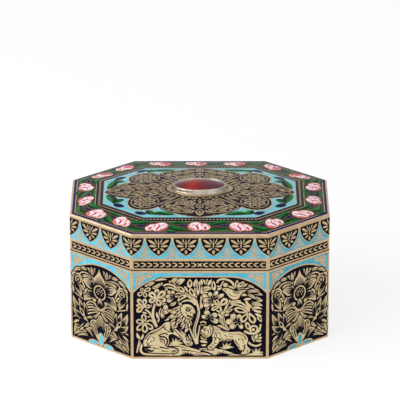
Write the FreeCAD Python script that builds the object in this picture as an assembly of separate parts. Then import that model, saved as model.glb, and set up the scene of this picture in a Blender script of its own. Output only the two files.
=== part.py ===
import FreeCAD, Part
import math
import os

# Outline of the box, an octagon with sides of three lengths
box_width = 92.0
box_depth = 69.0
front_edge = 48.0
side_edge = 32.0

# Heights of the base and of the lid
floor_thickness = 0.8
base_height = 34.0
lid_wall_height = 12.5
rim_height = 1.2
crown_rise = 3.1

# Sheet thicknesses and the fit of the lid over the lip
wall = 1.5
lid_clearance = 0.2
lid_wall = wall - lid_clearance
lip_thickness = 0.8
lip_rise = 4.0
lip_drop = 8.0
lip_lead = 0.3
top_thickness = 1.4
rim_round = 0.6

# Shadow line between base and lid
joint_gap = 0.35
joint_depth = 0.5

# Enamel sits in recesses of this depth and lies flush with the metal
enamel_depth = 0.35
cut_overrun = 2.0
same_place = 0.001

# Arched panel and spandrel of each base wall
corner_margin = 1.0
panel_foot = 0.3
arch_crown_drop = 2.5
arch_spring_drop = 8.1
shoulder_run = 13.0
arch_line = 0.45
top_border = 0.8

# Chevron band, petals and turquoise of each lid wall
chevron_foot = 0.9
chevron_height = 2.8
chevron_end = 0.8
band_gap = 1.0
petal_counts = [5, 3, 3, 3, 5, 3, 3, 3]
petal_width_share = 0.427
petal_length = 6.3
petal_bulge = 1.2
petal_line = 0.4
lid_field_foot = chevron_foot + chevron_height + band_gap
lid_field_head = 1.1
lid_field_end = 0.5

# Rings of the lid top, one after another from the rim inwards
blue_line_start = 0.7
blue_line_width = 0.8
ring_gap = 0.4
rose_start = blue_line_start + blue_line_width + ring_gap
rose_width = 6.8
bead_start = rose_start + rose_width + ring_gap
bead_width = 2.2
field_start = bead_start + bead_width + ring_gap

# Medallion: two long points, two short points and four round lobes
tip_gap = 0.3
lobe_x_share = 0.574
lobe_y_share = 0.489
lobe_radius = 6.0
lobe_start_angle = -35.0
lobe_end_angle = 140.0
long_point_bulge = 1.2
short_point_bulge = 1.6
medallion_line = 0.45

# Stone and its setting
seat_half_length = 11.9
seat_half_width = 6.4
seat_thickness = 0.4
seat_margin = 0.5
collet_foot_length = 10.2
collet_foot_width = 6.3
collet_top_length = 8.9
collet_top_width = 5.5
collet_over = 0.12
foil_thickness = 0.2
stone_half_length = 8.6
stone_half_width = 5.2
stone_girdle = 1.35
stone_dome = 1.5

side_names = [
    "front", "front_right", "right", "back_right",
    "back", "back_left", "left", "front_left",
]
side_count = len(side_names)

half_width = box_width / 2
half_depth = box_depth / 2
half_front = front_edge / 2
half_side = side_edge / 2
lid_wall_top = base_height + lid_wall_height
rim_top = lid_wall_top + rim_height
medallion_tip_x = half_width - field_start - tip_gap
medallion_tip_y = half_depth - field_start - tip_gap
lobe_centre_x = medallion_tip_x * lobe_x_share
lobe_centre_y = medallion_tip_y * lobe_y_share
# The cushion is flat under the collet seat; the shares are of the way in to that flat
crown_flat_inset = half_depth - seat_half_width - seat_margin
crown_inset_shares = [0.0, 0.326, 0.417, 0.688, 1.0]
up = FreeCAD.Vector(0, 0, 1)

outline = [
    FreeCAD.Vector(-half_front, -half_depth, 0),
    FreeCAD.Vector(half_front, -half_depth, 0),
    FreeCAD.Vector(half_width, -half_side, 0),
    FreeCAD.Vector(half_width, half_side, 0),
    FreeCAD.Vector(half_front, half_depth, 0),
    FreeCAD.Vector(-half_front, half_depth, 0),
    FreeCAD.Vector(-half_width, half_side, 0),
    FreeCAD.Vector(-half_width, -half_side, 0),
]


def along(side):
    run = outline[(side + 1) % side_count] - outline[side]
    return run.normalize()


def inward(side):
    run = along(side)
    return FreeCAD.Vector(-run.y, run.x, 0)


def side_length(side):
    return (outline[(side + 1) % side_count] - outline[side]).Length


def corner(index, inset):
    # Corner of the octagon moved in by the inset from both sides that meet there
    before = inward((index - 1) % side_count)
    after = inward(index % side_count)
    spread = 1 + before.dot(after)
    return outline[index % side_count] + (before + after) * (inset / spread)


def ring_wire(inset, height):
    points = [corner(i, inset) + up * height for i in range(side_count)]
    return Part.makePolygon(points + [points[0]])


def octagon(inset, low, high):
    return Part.Face(ring_wire(inset, low)).extrude(up * (high - low))


def ring(outer, inner, low, high):
    return octagon(outer, low, high).cut(octagon(inner, low - cut_overrun, high + cut_overrun))


def strip_wire(side, outer, inner, height):
    # Outline of a plate along one side with mitred ends, between two insets
    points = [
        corner(side, outer), corner(side + 1, outer),
        corner(side + 1, inner), corner(side, inner),
    ]
    points = [point + up * height for point in points]
    return Part.makePolygon(points + [points[0]])


def strip(side, outer, inner, low, high):
    return Part.Face(strip_wire(side, outer, inner, low)).extrude(up * (high - low))


def on_side(side, across, height):
    middle = (outline[side] + outline[(side + 1) % side_count]) * 0.5
    return middle + along(side) * across + up * height


def line(start, end):
    return Part.makeLine(start, end)


def bow(start, end, bulge, away):
    # Arc from start to end whose middle stands off the chord, on the side of the point away
    chord = end - start
    middle = (start + end) * 0.5
    offset = away - middle
    offset = offset - chord * (offset.dot(chord) / chord.dot(chord))
    return Part.Arc(start, middle + offset.normalize() * bulge, end).toShape()


def through_side(side, edges):
    # Prism of an outline drawn on one side, reaching past the enamel depth both ways
    face = Part.Face(Part.Wire(edges))
    face.translate(inward(side) * -cut_overrun)
    return face.extrude(inward(side) * (cut_overrun + enamel_depth + cut_overrun))


def arch(side, grow):
    # Flat crown with a round shoulder at each end; grow lifts it by the width of the gold line
    reach = side_length(side) / 2 - corner_margin
    run = min(shoulder_run, reach)
    flat = reach - run
    drop = arch_spring_drop - arch_crown_drop
    radius = (run ** 2 + drop ** 2) / (2 * drop)
    centre = base_height - arch_crown_drop - radius
    radius = radius + grow
    turn = math.asin(run / radius)
    half_turn = turn / 2
    crown = centre + radius
    spring = centre + radius * math.cos(turn)
    shoulder_across = flat + radius * math.sin(half_turn)
    shoulder_height = centre + radius * math.cos(half_turn)
    edges = [
        Part.Arc(
            on_side(side, reach, spring),
            on_side(side, shoulder_across, shoulder_height),
            on_side(side, flat, crown)).toShape(),
        Part.Arc(
            on_side(side, -flat, crown),
            on_side(side, -shoulder_across, shoulder_height),
            on_side(side, -reach, spring)).toShape(),
    ]
    if flat > same_place:
        edges.insert(1, line(on_side(side, flat, crown), on_side(side, -flat, crown)))
    return reach, spring, edges


def panel(side):
    reach, spring, edges = arch(side, 0)
    foot = floor_thickness + panel_foot
    edges = edges + [
        line(on_side(side, -reach, spring), on_side(side, -reach, foot)),
        line(on_side(side, -reach, foot), on_side(side, reach, foot)),
        line(on_side(side, reach, foot), on_side(side, reach, spring)),
    ]
    layer = strip(side, 0, enamel_depth, floor_thickness, base_height)
    return layer.common(through_side(side, edges))


def spandrel(side):
    reach, spring, edges = arch(side, arch_line)
    head = base_height - top_border
    edges = edges + [
        line(on_side(side, -reach, spring), on_side(side, -reach, head)),
        line(on_side(side, -reach, head), on_side(side, reach, head)),
        line(on_side(side, reach, head), on_side(side, reach, spring)),
    ]
    layer = strip(side, 0, enamel_depth, floor_thickness, base_height)
    return layer.common(through_side(side, edges))


def petal_prism(side, across, half, grow):
    # Pointed petal hanging from the rim, its point down
    head = lid_wall_top + cut_overrun
    tip = on_side(side, across, lid_wall_top - petal_length - grow)
    left = on_side(side, across - half - grow, lid_wall_top)
    right = on_side(side, across + half + grow, lid_wall_top)
    left_head = on_side(side, across - half - grow, head)
    right_head = on_side(side, across + half + grow, head)
    edges = [
        bow(left, tip, petal_bulge, on_side(side, across - half, tip.z)),
        bow(tip, right, petal_bulge, on_side(side, across + half, tip.z)),
        line(right, right_head),
        line(right_head, left_head),
        line(left_head, left),
    ]
    return through_side(side, edges)


def petal_row(side):
    # Places of the petals along a side; the first and last stand on the corners
    count = petal_counts[side]
    pitch = side_length(side) / count
    start = -side_length(side) / 2
    half = pitch * petal_width_share
    return [(start + pitch * i, half) for i in range(count + 1)]


def gathered(shapes):
    return Part.Compound([solid for shape in shapes for solid in shape.Solids])


os.makedirs("parts", exist_ok=True)

# Base plate
base_plate = octagon(0, 0, floor_thickness)
base_plate.exportStep("parts/base_plate.step")

# Base walls with their panel and spandrel enamel
for side in range(side_count):
    name = side_names[side]
    plate = strip(side, 0, wall, floor_thickness, base_height)
    panel_enamel = panel(side)
    spandrel_enamel = spandrel(side)
    plate = plate.cut(panel_enamel).cut(spandrel_enamel)
    plate.Solids[0].exportStep("parts/base_wall_" + name + ".step")
    panel_enamel.Solids[0].exportStep("parts/panel_enamel_" + name + ".step")
    spandrel_enamel.Solids[0].exportStep("parts/spandrel_enamel_" + name + ".step")

# Lip strips inside the wall tops, with a lead at the upper outer edge
lip_top = base_height + lip_rise
lip_strips = []
for side in range(side_count):
    sections = [
        strip_wire(side, wall, wall + lip_thickness, base_height - lip_drop),
        strip_wire(side, wall, wall + lip_thickness, lip_top - lip_lead),
        strip_wire(side, wall + lip_lead, wall + lip_thickness, lip_top),
    ]
    lip_strips.append(Part.makeLoft(sections, True, True))
gathered(lip_strips).exportStep("parts/lip_strips.step")

# Lid walls with the chevron band, the petals and the turquoise between them
lid_plates = []
chevrons = []
petal_pieces = [[] for side in range(side_count)]
whole_petals = []
lid_fields = []
for side in range(side_count):
    layer = strip(side, 0, enamel_depth, base_height, lid_wall_top)
    reach = side_length(side) / 2 - chevron_end
    low = base_height + chevron_foot
    high = low + chevron_height
    band_points = [
        on_side(side, -reach, low), on_side(side, reach, low),
        on_side(side, reach, high), on_side(side, -reach, high),
    ]
    band = Part.makePolygon(band_points + [band_points[0]])
    chevrons.append(layer.common(through_side(side, band.Edges)))
    row = petal_row(side)
    for i in range(len(row)):
        across, half = row[i]
        piece = layer.common(petal_prism(side, across, half, 0))
        if i == 0:
            petal_pieces[side].append(piece)
        elif i == len(row) - 1:
            petal_pieces[(side + 1) % side_count].append(piece)
        else:
            whole_petals.append(piece)
    reach = side_length(side) / 2 - lid_field_end
    low = base_height + lid_field_foot
    high = lid_wall_top - lid_field_head
    field_points = [
        on_side(side, -reach, low), on_side(side, reach, low),
        on_side(side, reach, high), on_side(side, -reach, high),
    ]
    field_edges = Part.makePolygon(field_points + [field_points[0]]).Edges
    field = layer.common(through_side(side, field_edges))
    for across, half in row:
        field = field.cut(petal_prism(side, across, half, petal_line))
    lid_fields.append(field)
    plate = strip(side, 0, lid_wall, base_height, lid_wall_top)
    groove = strip(side, -cut_overrun, joint_depth, base_height - cut_overrun, base_height + joint_gap)
    lid_plates.append(plate.cut(groove))

bent_petals = [pair[0].fuse(pair[1]).removeSplitter() for pair in petal_pieces]
petals = bent_petals + whole_petals
for side in range(side_count):
    plate = lid_plates[side].cut(chevrons[side]).cut(lid_fields[side])
    for petal in petals:
        plate = plate.cut(petal)
    plate.Solids[0].exportStep("parts/lid_wall_" + side_names[side] + ".step")
gathered(chevrons).exportStep("parts/chevron_enamel.step")
gathered(petals).exportStep("parts/petal_enamel.step")
gathered(lid_fields).exportStep("parts/lid_field_enamel.step")

# Cushion of the lid top: octagons that rise less and less towards the middle
crown_sections = []
for share in crown_inset_shares:
    inset = share * crown_flat_inset
    rise = crown_rise * (1 - (1 - inset / half_depth) ** 2)
    crown_sections.append((inset, rim_top + rise))
crown_top = crown_sections[-1][1]
crown_wires = [ring_wire(0, lid_wall_top)]
crown_wires = crown_wires + [ring_wire(inset, height) for inset, height in crown_sections]
cushion = Part.makeLoft(crown_wires, True, True)
lowered = cushion.copy()
lowered.translate(up * -enamel_depth)
skin = cushion.cut(lowered)
hollow_wires = [ring_wire(lid_wall, lid_wall_top)]
for inset, height in crown_sections[1:]:
    hollow_wires.append(ring_wire(inset, height - top_thickness))
hollow = Part.makeLoft(hollow_wires, True, True)
rim_edges = []
for edge in cushion.Edges:
    heights = [vertex.Point.z for vertex in edge.Vertexes]
    if max(abs(height - rim_top) for height in heights) < same_place:
        rim_edges.append(edge)
lid_top = cushion.makeFillet(rim_round, rim_edges).cut(hollow)

# Rings of enamel in the lid top
reach_low = lid_wall_top - cut_overrun
reach_high = crown_top + cut_overrun
blue_line = skin.common(ring(blue_line_start, blue_line_start + blue_line_width, reach_low, reach_high))
rose_border = skin.common(ring(rose_start, rose_start + rose_width, reach_low, reach_high))
bead_band = skin.common(ring(bead_start, bead_start + bead_width, reach_low, reach_high))

# Medallion outline, one quarter drawn and mirrored
quarters = []
for flip_x, flip_y in ((1, 1), (-1, 1), (-1, -1), (1, -1)):
    lobe_points = []
    for angle in (lobe_start_angle, (lobe_start_angle + lobe_end_angle) / 2, lobe_end_angle):
        turn = math.radians(angle)
        across = lobe_centre_x + lobe_radius * math.cos(turn)
        back = lobe_centre_y + lobe_radius * math.sin(turn)
        lobe_points.append(FreeCAD.Vector(flip_x * across, flip_y * back, reach_low))
    long_tip = FreeCAD.Vector(flip_x * medallion_tip_x, 0, reach_low)
    short_tip = FreeCAD.Vector(0, flip_y * medallion_tip_y, reach_low)
    outer_corner = FreeCAD.Vector(flip_x * half_width, flip_y * half_depth, reach_low)
    quarters = quarters + [
        bow(long_tip, lobe_points[0], long_point_bulge, outer_corner),
        Part.Arc(lobe_points[0], lobe_points[1], lobe_points[2]).toShape(),
        bow(lobe_points[2], short_tip, short_point_bulge, outer_corner),
    ]
medallion_face = Part.Face(Part.Wire(Part.sortEdges(quarters)[0]))
medallion_prism = medallion_face.extrude(up * (reach_high - reach_low))
# A face offset outwards keeps sharp points
grown_face = medallion_face.makeOffset2D(medallion_line, 2)
grown_prism = grown_face.extrude(up * (reach_high - reach_low))


def oval(half_length, half_across, low, high):
    curve = Part.Ellipse(FreeCAD.Vector(0, 0, low), half_length, half_across).toShape()
    return Part.Face(Part.Wire([curve])).extrude(up * (high - low))


def oval_wire(half_length, half_across, height):
    return Part.Wire([Part.Ellipse(FreeCAD.Vector(0, 0, height), half_length, half_across).toShape()])


seat_hole = oval(seat_half_length, seat_half_width, reach_low, reach_high)
medallion = skin.common(medallion_prism).cut(seat_hole)
field = skin.common(octagon(field_start, reach_low, reach_high)).cut(grown_prism)
for inlay in (blue_line, rose_border, bead_band, medallion, field):
    lid_top = lid_top.cut(inlay)
lid_top.Solids[0].exportStep("parts/lid_top.step")
blue_line.Solids[0].exportStep("parts/blue_line_enamel.step")
rose_border.Solids[0].exportStep("parts/rose_border_enamel.step")
bead_band.Solids[0].exportStep("parts/bead_band_enamel.step")
medallion.Solids[0].exportStep("parts/medallion_enamel.step")
gathered([field]).exportStep("parts/field_enamel.step")

# Collet seat, collet, foil and stone
seat_top = crown_top + seat_thickness
foil_top = seat_top + foil_thickness
girdle_top = foil_top + stone_girdle
collet_top = girdle_top + collet_over
collet_seat = oval(seat_half_length, seat_half_width, crown_top, seat_top)
foil = oval(stone_half_length, stone_half_width, seat_top, foil_top)

# The stone is turned round and then drawn in to an oval
stone_radius = (stone_half_length ** 2 + stone_dome ** 2) / (2 * stone_dome)
half_turn = math.asin(stone_half_length / stone_radius) / 2
dome_centre = girdle_top + stone_dome - stone_radius
profile_points = [
    FreeCAD.Vector(0, 0, foil_top),
    FreeCAD.Vector(stone_half_length, 0, foil_top),
    FreeCAD.Vector(stone_half_length, 0, girdle_top),
    FreeCAD.Vector(
        stone_radius * math.sin(half_turn), 0,
        dome_centre + stone_radius * math.cos(half_turn)),
    FreeCAD.Vector(0, 0, girdle_top + stone_dome),
]
profile = Part.Wire([
    line(profile_points[0], profile_points[1]),
    line(profile_points[1], profile_points[2]),
    Part.Arc(profile_points[2], profile_points[3], profile_points[4]).toShape(),
    line(profile_points[4], profile_points[0]),
])
stone = Part.Face(profile).revolve(FreeCAD.Vector(0, 0, 0), up, 360)
squeeze = FreeCAD.Matrix()
squeeze.A22 = stone_half_width / stone_half_length
stone = stone.transformGeometry(squeeze)
collet_body = Part.makeLoft([
    oval_wire(collet_foot_length, collet_foot_width, seat_top),
    oval_wire(collet_top_length, collet_top_width, collet_top),
], True, True)
collet = collet_body.cut(foil).cut(stone)
collet_seat.Solids[0].exportStep("parts/collet_seat.step")
collet.Solids[0].exportStep("parts/collet.step")
foil.Solids[0].exportStep("parts/stone_foil.step")
stone.Solids[0].exportStep("parts/stone.step")
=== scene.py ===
import bpy
import bmesh
import math
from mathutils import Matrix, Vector


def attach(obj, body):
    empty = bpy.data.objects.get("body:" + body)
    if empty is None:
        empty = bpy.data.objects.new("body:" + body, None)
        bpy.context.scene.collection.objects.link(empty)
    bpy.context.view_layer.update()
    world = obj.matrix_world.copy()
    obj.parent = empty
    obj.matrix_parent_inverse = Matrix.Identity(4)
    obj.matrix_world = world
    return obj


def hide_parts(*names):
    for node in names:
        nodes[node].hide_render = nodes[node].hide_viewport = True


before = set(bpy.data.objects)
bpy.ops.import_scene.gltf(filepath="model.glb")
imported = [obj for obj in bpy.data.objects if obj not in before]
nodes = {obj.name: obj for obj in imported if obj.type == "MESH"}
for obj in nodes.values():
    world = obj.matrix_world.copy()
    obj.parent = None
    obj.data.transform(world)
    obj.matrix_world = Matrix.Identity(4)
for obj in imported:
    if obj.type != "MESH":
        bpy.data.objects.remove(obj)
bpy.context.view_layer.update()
scene = bpy.context.scene
scene.view_settings.view_transform = "Standard"
mm = 0.001
print("frame loaded:", len(nodes), "nodes")

# the box's outline and heights in mm, as the solids have them
boxShape = {
    "width": 92.0, "depth": 69.0, "frontEdge": 48.0, "sideEdge": 32.0,
    "rimTop": 47.7, "crownRise": 3.1,
    "crownInsets": (0.0, 8.998, 11.509, 18.989, 27.6),
}
hw, hd = boxShape["width"] / 2, boxShape["depth"] / 2
hf, hs = boxShape["frontEdge"] / 2, boxShape["sideEdge"] / 2
corners = [Vector(c) for c in (
    (-hf, -hd), (hf, -hd), (hw, -hs), (hw, hs), (hf, hd), (-hf, hd), (-hw, hs), (-hw, -hs))]
sideNames = ("front", "front_right", "right", "back_right", "back", "back_left", "left", "front_left")
sideCount = 8


def sideRun(side):
    return corners[(side + 1) % sideCount] - corners[side % sideCount]


def sideOut(side):
    run = sideRun(side).normalized()
    return Vector((run.y, -run.x))


def sideLength(side):
    return sideRun(side).length


def mitre(index):
    # direction from a corner, so that both sides move out by one
    before, after = sideOut(index - 1), sideOut(index)
    return (before + after) / (1 + before.dot(after))


def insetCorner(index, inset):
    return corners[index % sideCount] - mitre(index) * inset


cornerRun = [0.0]
for side in range(sideCount):
    cornerRun.append(cornerRun[-1] + sideLength(side))
girth = cornerRun[-1]


def crownHeight(x, y):
    # height of the lid top's cushion at a place in plan
    spot = Vector((x, y))
    inset = min(-(spot - corners[side]).dot(sideOut(side)) for side in range(sideCount))
    stops = boxShape["crownInsets"]
    heights = [boxShape["crownRise"] * (1 - (1 - stop / hd) ** 2) for stop in stops]
    if inset <= 0:
        return boxShape["rimTop"]
    for k in range(len(stops) - 1):
        if inset <= stops[k + 1]:
            share = (inset - stops[k]) / (stops[k + 1] - stops[k])
            return boxShape["rimTop"] + heights[k] + (heights[k + 1] - heights[k]) * share
    return boxShape["rimTop"] + heights[-1]


# flat lines and outlines, drawn in mm
def through(points, steps=5, closed=False):
    # smooth line through a few points
    total = len(points)
    made = []
    for i in range(total if closed else total - 1):
        near = [(i + k) % total if closed else min(max(i + k, 0), total - 1) for k in (-1, 0, 1, 2)]
        for k in range(steps):
            t = k / steps
            spot = []
            for a, b, c, d in zip(*(points[index] for index in near)):
                spot.append(0.5 * (2 * b + (c - a) * t + (2 * a - 5 * b + 4 * c - d) * t * t
                                   + (3 * b - a - 3 * c + d) * t ** 3))
            made.append(tuple(spot))
    if not closed:
        made.append(tuple(points[-1]))
    return made


# shapes of the marks: half width of the thinnest line; in a leaf, the stretch that gives its direction
# and the roundness of its ends; in a paddle, where it is widest and the share of the width at its foot
markShape = {"thinnest": 0.02, "stretch": 0.02, "round": 0.8, "widest": 0.62, "foot": 0.22}


def ribbon(points, start, end, swell=0.0, steps=5):
    # outline of a line that thins or swells on its way
    line = through(points, steps)
    left, right = [], []
    for i, (x, y) in enumerate(line):
        ax, ay = line[max(i - 1, 0)]
        bx, by = line[min(i + 1, len(line) - 1)]
        size = math.hypot(bx - ax, by - ay) or 1.0
        t = i / (len(line) - 1)
        width = start + (end - start) * t + swell * math.sin(math.pi * t)
        half = max(markShape["thinnest"], width / 2)
        left.append((x - (by - ay) / size * half, y + (bx - ax) / size * half))
        right.append((x + (by - ay) / size * half, y - (bx - ax) / size * half))
    return left + right[::-1]


def strip(start, end, width):
    # outline of a straight line
    return ribbon([start, end], width, width, steps=1)


def spine(base, tip, bend, t):
    # place on a leaf's middle line, t from base to tip
    dx, dy = tip[0] - base[0], tip[1] - base[1]
    lean = bend * math.sin(math.pi * t)
    return base[0] + dx * t - dy * lean, base[1] + dy * t + dx * lean


def leafSpot(base, tip, bend, width, t, across, belly=0.85):
    # place in a leaf: t from base to tip, across from -1 at one edge to 1 at the other
    ax, ay = spine(base, tip, bend, t - markShape["stretch"])
    bx, by = spine(base, tip, bend, t + markShape["stretch"])
    x, y = spine(base, tip, bend, t)
    size = math.hypot(bx - ax, by - ay)
    full = math.sin(math.pi * min(max(t, 0.0), 1.0) ** belly) ** markShape["round"]
    half = width / 2 * full * across
    return x - (by - ay) / size * half, y + (bx - ax) / size * half


def leaf(base, tip, width, bend=0.0, belly=0.85, steps=8):
    # pointed at both ends, widest nearer the base
    left = [leafSpot(base, tip, bend, width, i / steps, 1, belly) for i in range(1, steps)]
    right = [leafSpot(base, tip, bend, width, i / steps, -1, belly) for i in range(1, steps)]
    return [tuple(base)] + left + [tuple(tip)] + right[::-1]


def halfLeaf(base, tip, width, bend, belly, way, steps=7):
    # one side of a leaf, up to its middle line
    middle = [spine(base, tip, bend, i / steps) for i in range(1, steps)]
    edge = [leafSpot(base, tip, bend, width, i / steps, way, belly) for i in range(1, steps)]
    return [tuple(base)] + middle + [tuple(tip)] + edge[::-1]


def paddle(centre, angle, inner, outer, width, steps=7):
    # petal with a narrow foot and a round end
    ca, sa = math.cos(angle), math.sin(angle)
    widest, foot = markShape["widest"], markShape["foot"]
    left, right = [], []
    for i in range(steps + 1):
        t = i / steps
        if t < widest:
            half = width / 2 * (foot + (1 - foot) * math.sin(math.pi / 2 * t / widest))
        else:
            half = width / 2 * math.sqrt(max(0.0, 1 - ((t - widest) / (1 - widest)) ** 2))
        along = inner + (outer - inner) * t
        left.append((centre[0] + ca * along - sa * half, centre[1] + sa * along + ca * half))
        right.append((centre[0] + ca * along + sa * half, centre[1] + sa * along - ca * half))
    return left[:-1] + [right[-1]] + right[:-1][::-1]


def disc(x, y, rx, ry=None, turn=0.0, sides=14):
    # round or oval spot
    ry = rx if ry is None else ry
    made = []
    for i in range(sides):
        a = 2 * math.pi * i / sides
        px, py = rx * math.cos(a), ry * math.sin(a)
        made.append((x + px * math.cos(turn) - py * math.sin(turn),
                     y + px * math.sin(turn) + py * math.cos(turn)))
    return made


def hoop(x, y, rx, ry, width, start=0.0, sweep=2 * math.pi, sides=24):
    # line round an oval, as a closed band in two halves
    bands = []
    for half in range(2):
        points = []
        for i in range(sides // 2 + 1):
            a = start + sweep * (half + i / (sides // 2)) / 2
            points.append((x + rx * math.cos(a), y + ry * math.sin(a)))
        bands.append(ribbon(points, width, width, steps=1))
    return bands


def grown(points, reach):
    # the outline moved out by a little
    points = facing(points)
    total = len(points)
    made = []
    for i in range(total):
        ax, ay = points[i - 1]
        bx, by = points[(i + 1) % total]
        size = math.hypot(bx - ax, by - ay) or 1.0
        made.append((points[i][0] + (by - ay) / size * reach, points[i][1] - (bx - ax) / size * reach))
    return made


def facing(points):
    # every outline runs the same way round
    turn = 0.0
    for (ax, ay), (bx, by) in zip(points[-1:] + points[:-1], points):
        turn += ax * by - bx * ay
    return list(points) if turn > 0 else list(points)[::-1]


# a page holds the outlines of one drawing, by ink and by level above the ground
def lay(page, ink, points, level=0):
    page.setdefault(ink, {}).setdefault(level, []).append(facing(points))


# dark strokes in a leaf: across, from, to, width
leafMarks = {
    "vein": ((0.0, 0.02, 0.86, 0.36),),
    "rays": ((-0.55, 0.04, 0.5, 0.36), (0.0, 0.02, 0.66, 0.42), (0.55, 0.04, 0.5, 0.36)),
    "shade": ((-0.8, 0.03, 0.5, 0.5), (-0.54, 0.02, 0.74, 0.52), (-0.27, 0.02, 0.58, 0.62),
        (0.0, 0.02, 0.84, 0.56), (0.27, 0.02, 0.58, 0.62), (0.54, 0.02, 0.74, 0.52),
        (0.8, 0.03, 0.5, 0.5)),
    "petal": ((-0.62, 0.05, 0.66, 0.8), (-0.3, 0.03, 0.84, 0.9), (0.02, 0.02, 0.72, 0.9),
        (0.34, 0.03, 0.88, 0.84), (0.64, 0.05, 0.62, 0.8)),
}
# dark slit in a leaf: from, to, share of its width; width at the end of a stroke
leafSlit = (0.28, 0.8, 0.4)
strokeEnd = 0.05


def layLeaf(page, x0, y0, x1, y1, width, bend=0.0, mark="", level=0, ink="gold", rim=0.0):
    base, tip = (x0, y0), (x1, y1)
    outline = leaf(base, tip, width, bend)
    if rim:
        lay(page, "dark", grown(outline, rim), level)
    lay(page, ink, outline, level + 1)
    if mark == "slit":
        first, last, share = leafSlit
        ends = [spine(base, tip, bend, t) for t in (first, last)]
        lay(page, "dark", leaf(*ends, width * share, bend, belly=1.0, steps=6), level + 2)
    for across, first, last, wide in leafMarks.get(mark, ()):
        places = [first + (last - first) * k / 3 for k in range(4)]
        spots = [leafSpot(base, tip, bend, width, t, across) for t in places]
        lay(page, "dark", ribbon(spots, wide, strokeEnd, steps=2), level + 2)


def layLeaves(page, rows, level, rim):
    # leaves that follow each other in a list lie over each other
    for k, row in enumerate(rows):
        layLeaf(page, *row, level=level + 3 * (k % 3), rim=rim)


def layStems(page, rows, level, rim=0.2):
    for points, start, end in rows:
        outline = ribbon(points, start, end)
        if rim:
            lay(page, "dark", grown(outline, rim), level)
        lay(page, "gold", outline, level + 1)


# open flower: dark rim, and where a petal and its rim start, as shares of its length
flowerShape = {
    "rim": 0.27, "rimFoot": 0.12, "foot": 0.06, "eye": 0.3,
    # rays in a petal: their turns, spread, foot, reach of every other one, width at both ends
    "rays": (-2, -1, 0, 1, 2), "raySpread": 0.32, "rayFoot": 0.08, "rayReach": (0.7, 0.52),
    "rayWidth": (0.42, 0.06),
    # one dark mark in a petal: from, to, share of its width
    "drop": (0.3, 0.76, 0.32), "slit": (0.26, 0.84, 0.48),
}


def layFlower(page, x, y, petals, mark, level):
    # every other petal lies over its neighbours
    shape = flowerShape

    def spot(angle, reach):
        return x + math.cos(angle) * reach, y + math.sin(angle) * reach

    for k, (px, py, width) in enumerate(petals):
        turn = level + 3 * (k % 2)
        a, radius = math.atan2(py - y, px - x), math.hypot(px - x, py - y)
        under = paddle((x, y), a, radius * shape["rimFoot"], radius, width)
        lay(page, "dark", grown(under, shape["rim"]), turn)
        lay(page, "gold", paddle((x, y), a, radius * shape["foot"], radius, width), turn + 1)
        if mark == "rays":
            for ray in shape["rays"]:
                far = a + ray * shape["raySpread"] * width / radius
                reach = radius * shape["rayReach"][ray % 2]
                line = [spot(a, radius * shape["rayFoot"]), spot(far, reach)]
                lay(page, "dark", ribbon(line, *shape["rayWidth"], steps=2), turn + 2)
        else:
            first, last, share = shape[mark]
            ends = spot(a, radius * first), spot(a, radius * last)
            lay(page, "dark", leaf(*ends, width * share, belly=1.2, steps=6), turn + 2)
    lay(page, "gold" if mark == "drop" else "dark", disc(x, y, shape["eye"], sides=10), level + 6)


# grass tuft: whole spread in degrees; width and mean length of a blade, as shares of its size;
# step and start of the wave in its length
tuftShape = {"spread": 150.0, "thick": 0.14, "mean": 0.75, "wave": (2.4, 0.8)}


def layTuft(page, x, y, size, blades, ink, level):
    mean = tuftShape["mean"]
    step, start = tuftShape["wave"]
    for k in range(blades):
        a = math.radians(90 + tuftShape["spread"] * (k / (blades - 1) - 0.5))
        reach = size * (mean + (1 - mean) * math.sin(step * k + start))
        tip = (x + math.cos(a) * reach, y + math.sin(a) * reach)
        blade = leaf((x, y), tip, size * tuftShape["thick"], bend=0.06, belly=0.7, steps=5)
        lay(page, ink, blade, level)


def layLines(page, rows, level, bold=1.0):
    for points, start, end in rows:
        lay(page, "dark", ribbon(points, start * bold, end * bold, steps=4), level)


def moved(page, rule):
    # a copy of a page, every point put where the rule says
    made = {}
    for ink, levels in page.items():
        for level, shapes in levels.items():
            for points in shapes:
                lay(made, ink, [rule(x, y) for x, y in points], level)
    return made


def mirrored(page):
    return moved(page, lambda x, y: (-x, y))


def joined(*pages):
    made = {}
    for page in pages:
        for ink, levels in page.items():
            for level, shapes in levels.items():
                made.setdefault(ink, {}).setdefault(level, []).extend(shapes)
    return made


# how thick a drawing's plates are, mm
relief = {"foot": -0.03, "first": 0.05, "step": 0.0066, "fine": 0.0009, "fineSteps": 7}


def raisePage(bm, levels, cuts=()):
    # thin closed plates over their outlines; neighbours in a level differ by a hair
    for level in sorted(levels):
        for turn in range(relief["fineSteps"]):
            faces = []
            for points in levels[level][turn::relief["fineSteps"]]:
                verts = [bm.verts.new((x, y, relief["foot"])) for x, y in points]
                faces.append(bm.faces.new(verts))
            if not faces:
                continue
            raised = bmesh.ops.extrude_face_region(bm, geom=faces)
            tops = [item for item in raised["geom"] if isinstance(item, bmesh.types.BMVert)]
            lift = relief["first"] + relief["step"] * level + relief["fine"] * turn - relief["foot"]
            bmesh.ops.translate(bm, verts=tops, vec=(0, 0, lift))
    for spot, across in cuts:
        everything = bm.verts[:] + bm.edges[:] + bm.faces[:]
        bmesh.ops.bisect_plane(bm, geom=everything, dist=0.0001, plane_co=spot, plane_no=across)
    bmesh.ops.recalc_face_normals(bm, faces=bm.faces)


def finishPiece(name, bm, place, body, material):
    for vert in bm.verts:
        vert.co = Vector(place(vert.co.x, vert.co.y, vert.co.z)) * mm
    mesh = bpy.data.meshes.new(name)
    bm.to_mesh(mesh)
    bm.free()
    piece = bpy.data.objects.new(name, mesh)
    scene.collection.objects.link(piece)
    mesh.materials.append(material)
    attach(piece, body)
    return piece


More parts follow.
